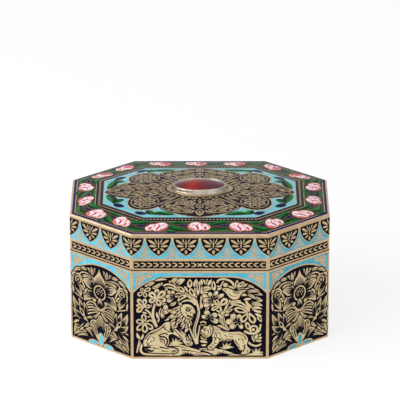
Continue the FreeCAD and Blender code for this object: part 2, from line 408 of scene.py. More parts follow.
def layPage(name, page, place, body, inks, cuts=()):
    # one piece for each ink of a drawing
    for ink, levels in page.items():
        material, slotName = inks[ink]
        bm = bmesh.new()
        raisePage(bm, levels, cuts)
        finishPiece(name + "_" + ink, bm, place, body, material)


def asDrawn(x, y, z):
    return x, y, z


def onSide(side):
    # on one wall: u from its middle, v up, w outwards
    middle = (corners[side] + corners[(side + 1) % sideCount]) / 2
    run, out = sideRun(side).normalized(), sideOut(side)

    def place(u, v, w):
        spot = middle + run * u + out * w
        return spot.x, spot.y, v
    return place


def onGirth(u, v, w):
    # round the whole wall: u runs from the front left corner along all sides
    u = u % girth
    near = 0.001
    for k in range(sideCount):
        if abs(u - cornerRun[k]) < near or abs(u - girth) < near:
            index = k if abs(u - cornerRun[k]) < near else 0
            spot = corners[index] + mitre(index) * w
            return spot.x, spot.y, v
    side = max(k for k in range(sideCount) if cornerRun[k] <= u)
    spot = corners[side] + sideRun(side).normalized() * (u - cornerRun[side]) + sideOut(side) * w
    return spot.x, spot.y, v


def onRing(middleInset):
    # round a ring of the lid top: u as on the girth, v outwards from the ring's middle
    def place(u, v, w):
        u = u % girth
        side = max(k for k in range(sideCount) if cornerRun[k] <= u + 0.0001)
        share = (u - cornerRun[side]) / sideLength(side)
        inset = middleInset - v
        spot = insetCorner(side, inset).lerp(insetCorner(side + 1, inset), share)
        return spot.x, spot.y, crownHeight(spot.x, spot.y) + w
    return place


def onTop(x, y, w):
    # on the lid top, in plan
    return x, y, crownHeight(x, y) + w


# where a drawing is cut, so that it bends with the surface: place, direction across the cut
girthCuts = [((run, 0, 0), (1, 0, 0)) for run in cornerRun]
topCuts = []
for side in range(sideCount):
    first, last = insetCorner(side, 0), insetCorner(side, boxShape["crownInsets"][-1])
    away = (last - first).normalized()
    topCuts.append(((first.x, first.y, 0), (-away.y, away.x, 0)))
    for stop in boxShape["crownInsets"][1:]:
        spot, out = insetCorner(side, stop), sideOut(side)
        topCuts.append(((spot.x, spot.y, 0), (out.x, out.y, 0)))


# finishes
def setInputs(node, values):
    for label, value in values.items():
        node.inputs[label].default_value = value


def addNode(tree, kind, values={}, **settings):
    node = tree.nodes.new(kind)
    for label, value in settings.items():
        setattr(node, label, value)
    setInputs(node, values)
    return node


def wire(tree, *rows):
    # each row: node and its output, node and its input
    for source, giving, target, taking in rows:
        tree.links.new(source.outputs[giving], target.inputs[taking])


def noiseNode(tree, scale, detail, rough=0.55):
    return addNode(tree, "ShaderNodeTexNoise", {"Scale": scale, "Detail": detail, "Roughness": rough})


def mixNode(tree, blend="MIX", values={}):
    return addNode(tree, "ShaderNodeMix", values, data_type="RGBA", blend_type=blend)


def mathNode(tree, operation, values={}):
    return addNode(tree, "ShaderNodeMath", values, operation=operation)


def grey(value):
    return (value, value, value, 1)


def rampNode(tree, stops):
    ramp = addNode(tree, "ShaderNodeValToRGB")
    places = ramp.color_ramp.elements
    for place, (position, colour) in zip(places, (stops[0], stops[-1])):
        place.position = position
        place.color = colour
    for position, colour in stops[1:-1]:
        places.new(position).color = colour
    return ramp


floatSocket, colourSocket = "NodeSocketFloat", "NodeSocketColor"


def makeGroup(name, inputs):
    group = bpy.data.node_groups.new(name, "ShaderNodeTree")
    for label, value in inputs.items():
        kind = floatSocket if isinstance(value, float) else colourSocket
        socket = group.interface.new_socket(name=label, in_out="INPUT", socket_type=kind)
        socket.default_value = value
    for label, kind in (("Colour", colourSocket), ("Roughness", floatSocket), ("Height", floatSocket)):
        group.interface.new_socket(name=label, in_out="OUTPUT", socket_type=kind)
    return group, addNode(group, "NodeGroupInput"), addNode(group, "NodeGroupOutput")


def seenNode(tree):
    # 1 for what is seen directly, in a reflection or through the stone
    path = addNode(tree, "ShaderNodeLightPath")
    direct = mathNode(tree, "MAXIMUM")
    seen = mathNode(tree, "MAXIMUM")
    wire(tree, (path, "Is Camera Ray", direct, 0), (path, "Is Glossy Ray", direct, 1),
         (direct, "Value", seen, 0), (path, "Is Transmission Ray", seen, 1))
    return seen


# cloudy glass: two depths of colour, small pits and a slightly uneven skin
glassGroup, glassIn, glassOut = makeGroup("fired_glass", {
    "Colour": (0.1, 0.5, 0.7, 1), "Deep": (0.05, 0.3, 0.5, 1), "Cloud": 420.0, "Pits": 0.35})
coords = addNode(glassGroup, "ShaderNodeTexCoord")
cloud = noiseNode(glassGroup, 420.0, 5.0)
cloudRamp = rampNode(glassGroup, ((0.36, grey(0.0)), (0.66, grey(1.0))))
glassMix = mixNode(glassGroup)
pits = addNode(glassGroup, "ShaderNodeTexVoronoi", {"Scale": 1900.0})
pitRamp = rampNode(glassGroup, ((0.06, grey(1.0)), (0.2, grey(0.0))))
pitAmount = mathNode(glassGroup, "MULTIPLY")
pitMix = mixNode(glassGroup, "MULTIPLY", {"B": grey(0.55)})
skin = noiseNode(glassGroup, 900.0, 3.0)
skinRough = addNode(glassGroup, "ShaderNodeMapRange", {"To Min": 0.1, "To Max": 0.3})
skinHeight = mathNode(glassGroup, "SUBTRACT")
wire(
    glassGroup,
    (coords, "Object", cloud, "Vector"), (glassIn, "Cloud", cloud, "Scale"),
    (cloud, "Fac", cloudRamp, "Fac"), (cloudRamp, "Color", glassMix, "Factor"),
    (glassIn, "Deep", glassMix, "A"), (glassIn, "Colour", glassMix, "B"),
    (coords, "Object", pits, "Vector"), (pits, "Distance", pitRamp, "Fac"),
    (pitRamp, "Color", pitAmount, 0), (glassIn, "Pits", pitAmount, 1),
    (pitAmount, "Value", pitMix, "Factor"), (glassMix, "Result", pitMix, "A"),
    (coords, "Object", skin, "Vector"), (skin, "Fac", skinRough, "Value"), (skin, "Fac", skinHeight, 0),
    (pitAmount, "Value", skinHeight, 1), (pitMix, "Result", glassOut, "Colour"),
    (skinRough, "Result", glassOut, "Roughness"), (skinHeight, "Value", glassOut, "Height"))

# old gilding: warm and thin places, dull spots and fine scratches
giltGroup, giltIn, giltOut = makeGroup("old_gilding", {
    "Colour": (0.6, 0.46, 0.27, 1), "Worn": (0.42, 0.3, 0.17, 1), "Wear": 0.6, "Dull": 0.42,
    "Grain": 0.5})
coords = addNode(giltGroup, "ShaderNodeTexCoord")
patch = noiseNode(giltGroup, 260.0, 6.0, 0.62)
patchRamp = rampNode(giltGroup, ((0.42, grey(0.0)), (0.74, grey(1.0))))
wearAmount = mathNode(giltGroup, "MULTIPLY")
giltMix = mixNode(giltGroup)
stretch = addNode(giltGroup, "ShaderNodeMapping", {"Scale": (0.35, 0.35, 1.6)})
scratch = noiseNode(giltGroup, 2600.0, 4.0, 0.7)
giltRough = mathNode(giltGroup, "MULTIPLY_ADD", {1: 0.16})
grain = noiseNode(giltGroup, 2300.0, 3.0, 0.6)
grainMix = mixNode(giltGroup, "OVERLAY")
wire(
    giltGroup,
    (coords, "Object", patch, "Vector"), (patch, "Fac", patchRamp, "Fac"),
    (patchRamp, "Color", wearAmount, 0), (giltIn, "Wear", wearAmount, 1),
    (wearAmount, "Value", giltMix, "Factor"), (giltIn, "Colour", giltMix, "A"),
    (giltIn, "Worn", giltMix, "B"), (coords, "Object", stretch, "Vector"),
    (stretch, "Vector", scratch, "Vector"), (scratch, "Fac", giltRough, 0),
    (giltIn, "Dull", giltRough, 2), (coords, "Object", grain, "Vector"),
    (giltIn, "Grain", grainMix, "Factor"), (giltMix, "Result", grainMix, "A"),
    (grain, "Color", grainMix, "B"), (grainMix, "Result", giltOut, "Colour"),
    (giltRough, "Value", giltOut, "Roughness"), (scratch, "Fac", giltOut, "Height"))


def newLook(name):
    material = bpy.data.materials.new(name)
    material.use_nodes = True
    return material, material.node_tree, material.node_tree.nodes["Principled BSDF"]


def dressed(name, group, values, metallic, bump, specular):
    material, tree, shader = newLook(name)
    effect = addNode(tree, "ShaderNodeGroup", values, node_tree=group)
    skin = addNode(tree, "ShaderNodeBump", {"Strength": bump, "Distance": 0.00004})
    wire(tree, (effect, "Colour", shader, "Base Color"), (effect, "Roughness", shader, "Roughness"),
         (effect, "Height", skin, "Height"), (skin, "Normal", shader, "Normal"))
    setInputs(shader, {"Metallic": metallic, "Specular IOR Level": specular})
    return material


def rgb(r, g, b):
    # a colour as it shows on screen, 0 to 255, in scene values
    shares = (r / 255, g / 255, b / 255)
    return tuple(c / 12.92 if c <= 10 / 255 else ((c + 0.055) / 1.055) ** 2.4 for c in shares) + (1,)


glassFinish = {
    "dark": {"Colour": rgb(15, 11, 29), "Deep": rgb(7, 5, 15), "Cloud": 300.0, "Pits": 0.2},
    "turquoise": {"Colour": rgb(103, 194, 214), "Deep": rgb(82, 173, 197), "Cloud": 330.0, "Pits": 0.5},
    "cobalt": {"Colour": rgb(20, 12, 104), "Deep": rgb(10, 4, 66), "Cloud": 500.0, "Pits": 0.3},
    "pine": {"Colour": rgb(4, 56, 26), "Deep": rgb(0, 22, 8), "Cloud": 430.0, "Pits": 0.3},
    "green": {"Colour": rgb(18, 126, 54), "Deep": rgb(2, 84, 32), "Cloud": 430.0, "Pits": 0.3},
    "navy": {"Colour": rgb(26, 18, 92), "Deep": rgb(4, 0, 44), "Cloud": 520.0, "Pits": 0.3},
    "white": {"Colour": rgb(250, 242, 246), "Deep": rgb(236, 216, 226), "Cloud": 620.0, "Pits": 0.2},
    "pink": {"Colour": rgb(232, 116, 118), "Deep": rgb(212, 82, 90), "Cloud": 700.0, "Pits": 0.2},
    "red": {"Colour": rgb(206, 70, 74), "Deep": rgb(184, 44, 54), "Cloud": 700.0, "Pits": 0.2},
    "field": {"Colour": rgb(126, 198, 207), "Deep": rgb(102, 184, 199), "Cloud": 330.0, "Pits": 0.6},
    "ice": {"Colour": rgb(196, 216, 240), "Deep": rgb(176, 198, 232), "Cloud": 700.0, "Pits": 0.2},
    "peach": {"Colour": rgb(214, 150, 124), "Deep": rgb(190, 120, 96), "Cloud": 700.0, "Pits": 0.2},
}
# how strongly the darker glasses shine; the others have the usual shine
usualShine = 0.16
glassShine = {"dark": 0.05, "navy": 0.03, "cobalt": 0.04, "green": 0.03, "pine": 0.03, "red": 0.06}
glass = {}
for name, values in glassFinish.items():
    glass[name] = dressed(name + "_enamel", glassGroup, values, 0.0, 0.25,
        glassShine.get(name, usualShine))

giltFinish = {
    "wall": {"Colour": rgb(210, 181, 143), "Worn": rgb(184, 148, 104), "Wear": 0.6, "Dull": 0.36,
        "Grain": 0.6},
    "ornament": {"Colour": rgb(222, 204, 164), "Worn": rgb(190, 160, 111), "Wear": 0.75, "Dull": 0.38,
        "Grain": 0.8},
    "trim": {"Colour": rgb(204, 183, 144), "Worn": rgb(170, 141, 98), "Wear": 0.75, "Dull": 0.38,
        "Grain": 0.8},
    "side": {"Colour": rgb(213, 193, 154), "Worn": rgb(181, 151, 105), "Wear": 0.75, "Dull": 0.38,
        "Grain": 0.8},
    "medallion": {"Colour": rgb(170, 150, 121), "Worn": rgb(136, 113, 82), "Wear": 0.8, "Dull": 0.4,
        "Grain": 0.7},
    "ground": {"Colour": rgb(74, 60, 38), "Worn": rgb(36, 30, 18), "Wear": 0.9, "Dull": 0.45,
        "Grain": 0.6},
    "inside": {"Colour": rgb(216, 190, 142), "Worn": rgb(190, 158, 108), "Wear": 0.5, "Dull": 0.28,
        "Grain": 0.3},
    "silver": {"Colour": rgb(202, 192, 180), "Worn": rgb(122, 104, 86), "Wear": 1.0, "Dull": 0.14,
        "Grain": 0.25},
    "rim": {"Colour": rgb(196, 173, 138), "Worn": rgb(168, 137, 98), "Wear": 0.6, "Dull": 0.36,
        "Grain": 0.6},
}
gilt = {}
for name, values in giltFinish.items():
    gilt[name] = dressed(name + "_metal", giltGroup, values, 1.0, 0.35, 0.5)

# painted reflection: the silver is darker towards both ends of the oval, bright to dull along its half
# length
paintedEndReflection = {"From Min": 0.0045, "From Max": 0.0092, "To Min": 1.0, "To Max": 0.5}
silverTree = gilt["silver"].node_tree
silverShader = silverTree.nodes["Principled BSDF"]
silverPlace = addNode(silverTree, "ShaderNodeTexCoord")
silverAxes = addNode(silverTree, "ShaderNodeSeparateXYZ")
silverReach = mathNode(silverTree, "ABSOLUTE")
# painted reflection: darkening of the silver's colour by distance from the middle along the oval
silverEndReflection = addNode(silverTree, "ShaderNodeMapRange", paintedEndReflection)
silverMix = mixNode(silverTree, "MULTIPLY", {"Factor": 1.0})
silverTree.links.new(silverShader.inputs["Base Color"].links[0].from_socket, silverMix.inputs["A"])
wire(silverTree, (silverPlace, "Object", silverAxes, "Vector"), (silverAxes, "X", silverReach, 0),
     (silverReach, "Value", silverEndReflection, "Value"), (silverEndReflection, "Result", silverMix, "B"),
     (silverMix, "Result", silverShader, "Base Color"))

# red stone: its own dark red, with painted light across it from left to right, a painted glow left of the
# middle and a paler mauve painted reflection at the right; cloudy within
stoneColourAndPaintedLight = {
    "stops": ((0.38, rgb(98, 4, 10)), (0.62, rgb(178, 14, 2)), (0.78, rgb(126, 6, 10)),
        (0.95, rgb(112, 30, 48)), (1.0, rgb(98, 26, 42))),
    "cloud": {"Scale": 260.0, "Detail": 5.0}, "stir": 0.55,
    "reach": {"From Min": -0.009, "From Max": 0.009},
    "shine": {"Transmission Weight": 0.3, "Roughness": 0.05, "IOR": 1.6, "Specular IOR Level": 0.14},
}


def makeStone(finish):
    material, tree, shader = newLook("red_stone")
    place = addNode(tree, "ShaderNodeTexCoord")
    depth = addNode(tree, "ShaderNodeTexNoise", finish["cloud"])
    apart = addNode(tree, "ShaderNodeSeparateXYZ")
    # colour runs from left to right across the stone: painted glow, then painted reflection at the right
    across = addNode(tree, "ShaderNodeMapRange", finish["reach"])
    stir = mathNode(tree, "MULTIPLY_ADD", {1: finish["stir"]})
    ramp = rampNode(tree, finish["stops"])
    wire(tree, (place, "Object", depth, "Vector"), (place, "Object", apart, "Vector"),
        (apart, "X", across, "Value"), (depth, "Fac", stir, 0), (across, "Result", stir, 2),
        (stir, "Value", ramp, "Fac"), (ramp, "Color", shader, "Base Color"))
    setInputs(shader, finish["shine"])
    return material


stoneLook = makeStone(stoneColourAndPaintedLight)
print("finishes made")

# solids that keep their own shape
nodeLooks = {
    "base_plate": gilt["wall"], "lid_top": gilt["rim"], "collet_seat": gilt["medallion"],
    "collet": gilt["silver"], "stone_foil": gilt["silver"], "stone": stoneLook,
    "lip_strips": gilt["inside"],
    "chevron_enamel": glass["dark"], "petal_enamel": glass["dark"],
    "lid_field_enamel": glass["turquoise"],
    "blue_line_enamel": glass["cobalt"], "rose_border_enamel": gilt["ground"],
    "bead_band_enamel": glass["dark"],
    "field_enamel": glass["field"], "medallion_enamel": glass["dark"],
}
for name in sideNames:
    nodeLooks["base_wall_" + name] = gilt["wall"]
    nodeLooks["lid_wall_" + name] = gilt["wall"]
    nodeLooks["panel_enamel_" + name] = glass["dark"]
    nodeLooks["spandrel_enamel_" + name] = glass["turquoise"]
for name, material in nodeLooks.items():
    nodes[name].data.materials.clear()
    nodes[name].data.materials.append(material)

# inks of the drawings: finish and slot
wallInks = {"gold": (gilt["ornament"], "gilt_metal"), "dark": (glass["dark"], "dark_enamel"),
            "turquoise": (glass["turquoise"], "turquoise_enamel"), "tan": (gilt["wall"], "gilt_metal")}
sideInks = dict(wallInks, gold=(gilt["side"], "gilt_metal"))
lidInks = dict(wallInks, gold=(gilt["trim"], "gilt_metal"))
topInks = {"gold": (gilt["medallion"], "gilt_metal")}
for name, slotName in (
        ("dark", "dark_enamel"), ("cobalt", "cobalt_enamel"), ("navy", "cobalt_enamel"),
        ("green", "turquoise_enamel"), ("pine", "turquoise_enamel"), ("white", "rose_ground_enamel"),
        ("pink", "rose_ground_enamel"), ("red", "rose_ground_enamel"), ("ice", "rose_ground_enamel"),
        ("peach", "rose_ground_enamel")):
    topInks[name] = (glass[name], slotName)

# flower panel of the slanting and end walls: one half is drawn, in mm, and mirrored
# leaves: foot, tip, width, bend, mark; stems and lines: points, width at both ends
flowerPanel = {
    "ring": (0.0, 21.3, 2.66, 0.48),
    "topPetal": ((0.0, 30.4), (0.45, 29.2), (1.1, 28.1), (1.9, 27.2), (2.6, 26.2), (2.7, 25.2),
        (2.2, 24.3), (1.2, 23.6)),
    "leaves": (
        (2.6, 22.3, 8.3, 24.2, 4.1, 0.1, "petal"), (2.5, 19.8, 7.8, 16.3, 3.5, 0.16, "petal"),
        (12.4, 22.2, 9.3, 17.4, 2.7, -0.08, "petal"), (10.1, 22.0, 7.5, 20.1, 1.5, 0.05, "vein"),
        (3.2, 26.9, 5.9, 29.5, 1.35, 0.1, "slit"), (3.2, 26.9, 3.9, 30.3, 1.25, 0.0, "vein"),
        (3.1, 26.9, 1.9, 30.3, 1.05, -0.08, "slit"), (5.7, 28.4, 9.8, 27.9, 1.15, 0.14, "vein"),
        (8.7, 28.1, 12.7, 26.3, 1.2, 0.12, "vein"), (11.2, 26.8, 13.6, 24.4, 1.0, 0.1, ""),
        (3.5, 25.3, 8.6, 25.7, 0.8, 0.14, "vein"),
        (7.9, 9.8, 13.5, 12.2, 2.3, -0.16, "petal"), (8.1, 10.1, 13.3, 16.8, 2.5, -0.12, "petal"),
        (8.0, 10.3, 10.5, 16.6, 2.1, 0.0, "petal"), (7.9, 10.3, 8.0, 15.6, 1.7, 0.14, "petal"),
        (7.9, 9.2, 13.4, 2.3, 2.8, 0.06, "petal"), (8.4, 9.4, 13.5, 8.5, 1.1, 0.1, "vein"),
        (10.6, 7.6, 13.5, 5.9, 0.9, 0.1, ""), (2.4, 2.7, 7.6, 5.4, 2.7, 0.2, "petal"),
        (6.4, 4.4, 13.4, 1.6, 1.3, 0.1, "vein"), (5.9, 3.0, 11.8, 1.45, 0.9, 0.1, "vein"),
        (12.9, 17.8, 13.4, 21.0, 0.8, 0.0, ""), (2.0, 17.2, 3.7, 17.5, 1.4, 0.2, ""),
        (5.9, 21.3, 7.6, 18.7, 0.8, 0.1, ""), (3.4, 10.6, 6.9, 9.6, 0.8, 0.1, "vein"),
        (5.6, 8.6, 8.4, 5.9, 1.1, -0.1, "vein"), (8.6, 5.6, 10.4, 3.9, 0.8, 0.0, ""),
        (8.4, 19.4, 7.5, 17.2, 0.7, 0.0, ""), (5.6, 26.4, 8.4, 25.2, 0.6, 0.0, ""),
    ),
    "stripes": (
        (((6.9, 14.5), (5.4, 15.4), (3.4, 15.6)), 0.5, 0.3),
        (((7.1, 13.4), (5.0, 14.5), (2.7, 14.8), (1.0, 14.4)), 0.6, 0.3),
        (((7.1, 12.2), (5.0, 13.3), (3.0, 13.9), (1.1, 13.9)), 0.6, 0.28),
        (((7.1, 11.1), (5.0, 12.1), (3.1, 12.9), (1.3, 13.5)), 0.6, 0.28),
    ),
    "stems": (
        (((0.3, 14.2), (1.6, 15.2), (3.0, 16.4), (4.6, 16.7), (6.2, 15.9), (7.2, 14.2), (7.5, 12.2),
            (7.7, 10.0)), 0.45, 0.5),
        (((7.6, 9.3), (6.2, 8.2), (4.9, 6.6), (3.4, 4.8), (2.0, 2.8)), 0.6, 0.5),
        (((2.6, 25.4), (4.4, 26.6), (6.4, 27.2), (8.4, 27.0), (9.6, 26.2), (9.9, 25.2)), 0.42, 0.5),
        (((12.0, 19.6), (13.2, 22.0), (13.1, 24.0), (12.0, 25.4), (10.4, 25.8), (9.2, 25.0), (8.5, 23.3),
            (7.9, 22.1), (7.3, 20.7)), 0.45, 0.6),
        (((13.2, 18.6), (11.6, 17.7), (10.0, 17.2), (8.4, 16.6)), 0.42, 0.4),
        (((13.3, 1.5), (10.4, 2.6), (7.4, 3.9)), 0.36, 0.4),
        (((3.2, 27.2), (2.9, 26.2), (2.6, 25.2)), 0.4, 0.4),
        (((0.5, 13.8), (2.0, 12.1), (4.0, 10.9), (7.2, 9.7)), 0.42, 0.4),
        (((0.3, 13.6), (1.5, 11.9), (2.8, 10.7)), 0.34, 0.3),
    ),
    "coil": (10.6, 23.6, 1.3, 0.42), "coilEye": (0.5, 0.2),
    "bud": (7.9, 9.9, 10.2, 13.0, 1.7), "budSlit": (8.5, 10.8, 9.8, 12.4, 0.935),
    "knot": (7.6, 9.4, 0.65),
    "drops": ((9.7, 6.9, 0.55), (10.9, 5.3, 0.47), (12.0, 3.8, 0.39)),
    # dark rays of the top petal: spread and height at foot and middle, spread at tip; height of the tips
    "rays": ((0.44, 23.5), (0.55, 25.0), 0.48), "rayTop": (27.5, 0.12, 0.6), "rayWidth": (0.72, 0.08),
    "seeds": ((-1.1, 22.0), (0.0, 22.5), (1.0, 22.1), (0.5, 21.4), (-0.4, 21.6), (-1.3, 21.0),
        (1.4, 21.2), (-0.8, 20.4), (0.9, 20.4)),
    "cup": ((-2.9, 17.2), (-2.2, 15.5), (0.0, 14.2), (2.2, 15.5), (2.9, 17.2), (2.2, 16.7), (1.5, 15.7),
        (0.0, 14.9), (-1.5, 15.7), (-2.2, 16.7)),
    "cupBed": ((0.0, 14.4), (1.6, 15.4), (2.4, 16.8), (1.4, 18.0), (0.0, 19.3)),
    "tongue": (0.0, 15.4, 0.0, 19.3, 2.1, 0.0, "shade"),
    "rib": ((0.0, 12.0), (0.0, 9.4), (0.0, 6.0)), "throat": ((0.0, 3.6), (0.0, 8.6), 3.2),
    "broad": ((0.0, 12.7), (0.8, 12.0), (1.5, 10.8), (2.4, 10.1), (3.4, 10.0), (4.5, 9.5), (5.0, 8.5),
        (4.6, 7.2), (3.8, 5.8), (2.8, 4.3), (1.7, 2.7)),
    "broadLines": (
        (((3.0, 9.4), (4.0, 9.1), (4.3, 8.3), (3.5, 7.9)), 0.45, 0.3),
        (((3.4, 8.6), (3.9, 8.5), (3.7, 8.2)), 0.3, 0.2),
        (((4.1, 7.4), (3.3, 6.0), (2.4, 4.5)), 0.5, 0.3),
        (((2.6, 9.2), (2.9, 7.6), (2.3, 5.8), (1.8, 4.6)), 0.55, 0.45),
        (((1.75, 10.3), (2.0, 8.4), (1.75, 6.2)), 0.24, 0.62),
        (((1.15, 11.2), (1.35, 8.8), (1.2, 6.0)), 0.16, 0.7),
        (((0.58, 11.7), (0.7, 9.2), (0.6, 6.0)), 0.14, 0.62),
    ),
    "lobe": (3.65, 1.25, 2.1, 0.66), "lobeTilt": -0.06, "lobeRim": (0.42, 0.38),
    "heart": ((0.0, 5.4), (0.62, 4.9), (0.85, 3.8), (0.8, 2.4), (0.7, 1.35)), "heartRim": 0.42,
    # dark edges
    "stemRim": 0.3, "leafRim": 0.42, "flowerRim": 0.2, "cupRim": 0.25, "broadRim": 0.28,
    # seed: foot, tip, width; drop: half width, tilt; widths of the rib's ends
    "seed": ((-0.45, -0.1), (0.45, 0.7), 0.26), "drop": (0.26, -0.9), "ribWidth": (0.08, 0.6),
}


def bothSides(points):
    # a half outline from the axis outwards, made whole
    return [(x, y) for x, y in points] + [(-x, y) for x, y in points[::-1] if x]


def drawFlowerPanel(shape):
    half = {}
    layStems(half, shape["stems"], 0, rim=shape["stemRim"])
    layStems(half, shape["stripes"], 2, rim=0.0)
    layLeaves(half, shape["leaves"], 4, shape["leafRim"])
    x, y, radius, width = shape["coil"]
    for band in hoop(x, y, radius, radius, width, sides=20):
        lay(half, "gold", band, 4)
    outer, inner = shape["coilEye"]
    lay(half, "gold", disc(x, y, outer, sides=9), 4)
    lay(half, "dark", disc(x, y, inner, sides=7), 5)
    layLeaf(half, *shape["bud"], level=14, rim=shape["flowerRim"])
    layLeaf(half, *shape["budSlit"], level=16, ink="dark")
    lay(half, "gold", disc(*shape["knot"], sides=10), 16)
    for x, y, size in shape["drops"]:
        lay(half, "dark", disc(x, y, size, *shape["drop"], 9), 16)
    layLines(half, shape["broadLines"], 18)
    x, y, rx, ry = shape["lobe"]
    moreX, moreY = shape["lobeRim"]
    lay(half, "gold", disc(x, y, rx + moreX, ry + moreY, shape["lobeTilt"], 20), 19)
    lay(half, "turquoise", disc(x, y, rx, ry, shape["lobeTilt"], 18), 20)
    page = joined(half, mirrored(half))
    # the great flower: top petal, seed ring, cup
    petal = bothSides(through(shape["topPetal"], 3))
    lay(page, "dark", grown(petal, shape["flowerRim"]), 14)
    lay(page, "gold", petal, 15)
    (foot, low), (belly, middle), tip = shape["rays"]
    top, fall, step = shape["rayTop"]
    for k in range(-4, 5):
        line = [(k * foot, low), (k * belly, middle), (k * tip, top - fall * k * k + step * (k % 2))]
        lay(page, "dark", ribbon(line, *shape["rayWidth"], steps=2), 16)
    x, y, radius, width = shape["ring"]
    lay(page, "dark", disc(x, y, radius + width / 2 + shape["flowerRim"], sides=30), 17)
    lay(page, "gold", disc(x, y, radius + width / 2, sides=30), 18)
    lay(page, "dark", disc(x, y, radius - width / 2, sides=28), 19)
    (x0, y0), (x1, y1), width = shape["seed"]
    for x, y in shape["seeds"]:
        lay(page, "gold", leaf((x + x0, y + y0), (x + x1, y + y1), width, belly=1.0, steps=5), 20)
    lay(page, "dark", grown(bothSides(shape["cupBed"]), shape["cupRim"]), 20)
    lay(page, "gold", shape["cup"], 21)
    layLeaf(page, *shape["tongue"], level=20)
    # broad leaf over the small palmette
    broad = bothSides(through(shape["broad"], 3))
    lay(page, "dark", grown(broad, shape["broadRim"]), 16)
    lay(page, "gold", broad, 17)
    lay(page, "dark", ribbon(shape["rib"], *shape["ribWidth"]), 18)
    lay(page, "dark", leaf(*shape["throat"], belly=0.9), 18)
    heart = bothSides(through(shape["heart"], 3))
    lay(page, "gold", grown(heart, shape["heartRim"]), 19)
    lay(page, "turquoise", heart, 20)
    return page


# flower panels by side: stretch, offset and lean; hand-drawn panels do not stand quite upright
panelStance = {1: (0.97, 0.4, 0.022), 2: (1.11, 0.1, 0.0), 3: (0.97, -0.2, 0.008), 5: (0.97, 0.2, -0.008),
               6: (1.11, -0.1, 0.0), 7: (0.97, -0.45, 0.022)}
panelMiddle = 21


def stood(page, across, offset, slope):
    return moved(page, lambda x, y: (x * across + offset + slope * (panelMiddle - y), y))


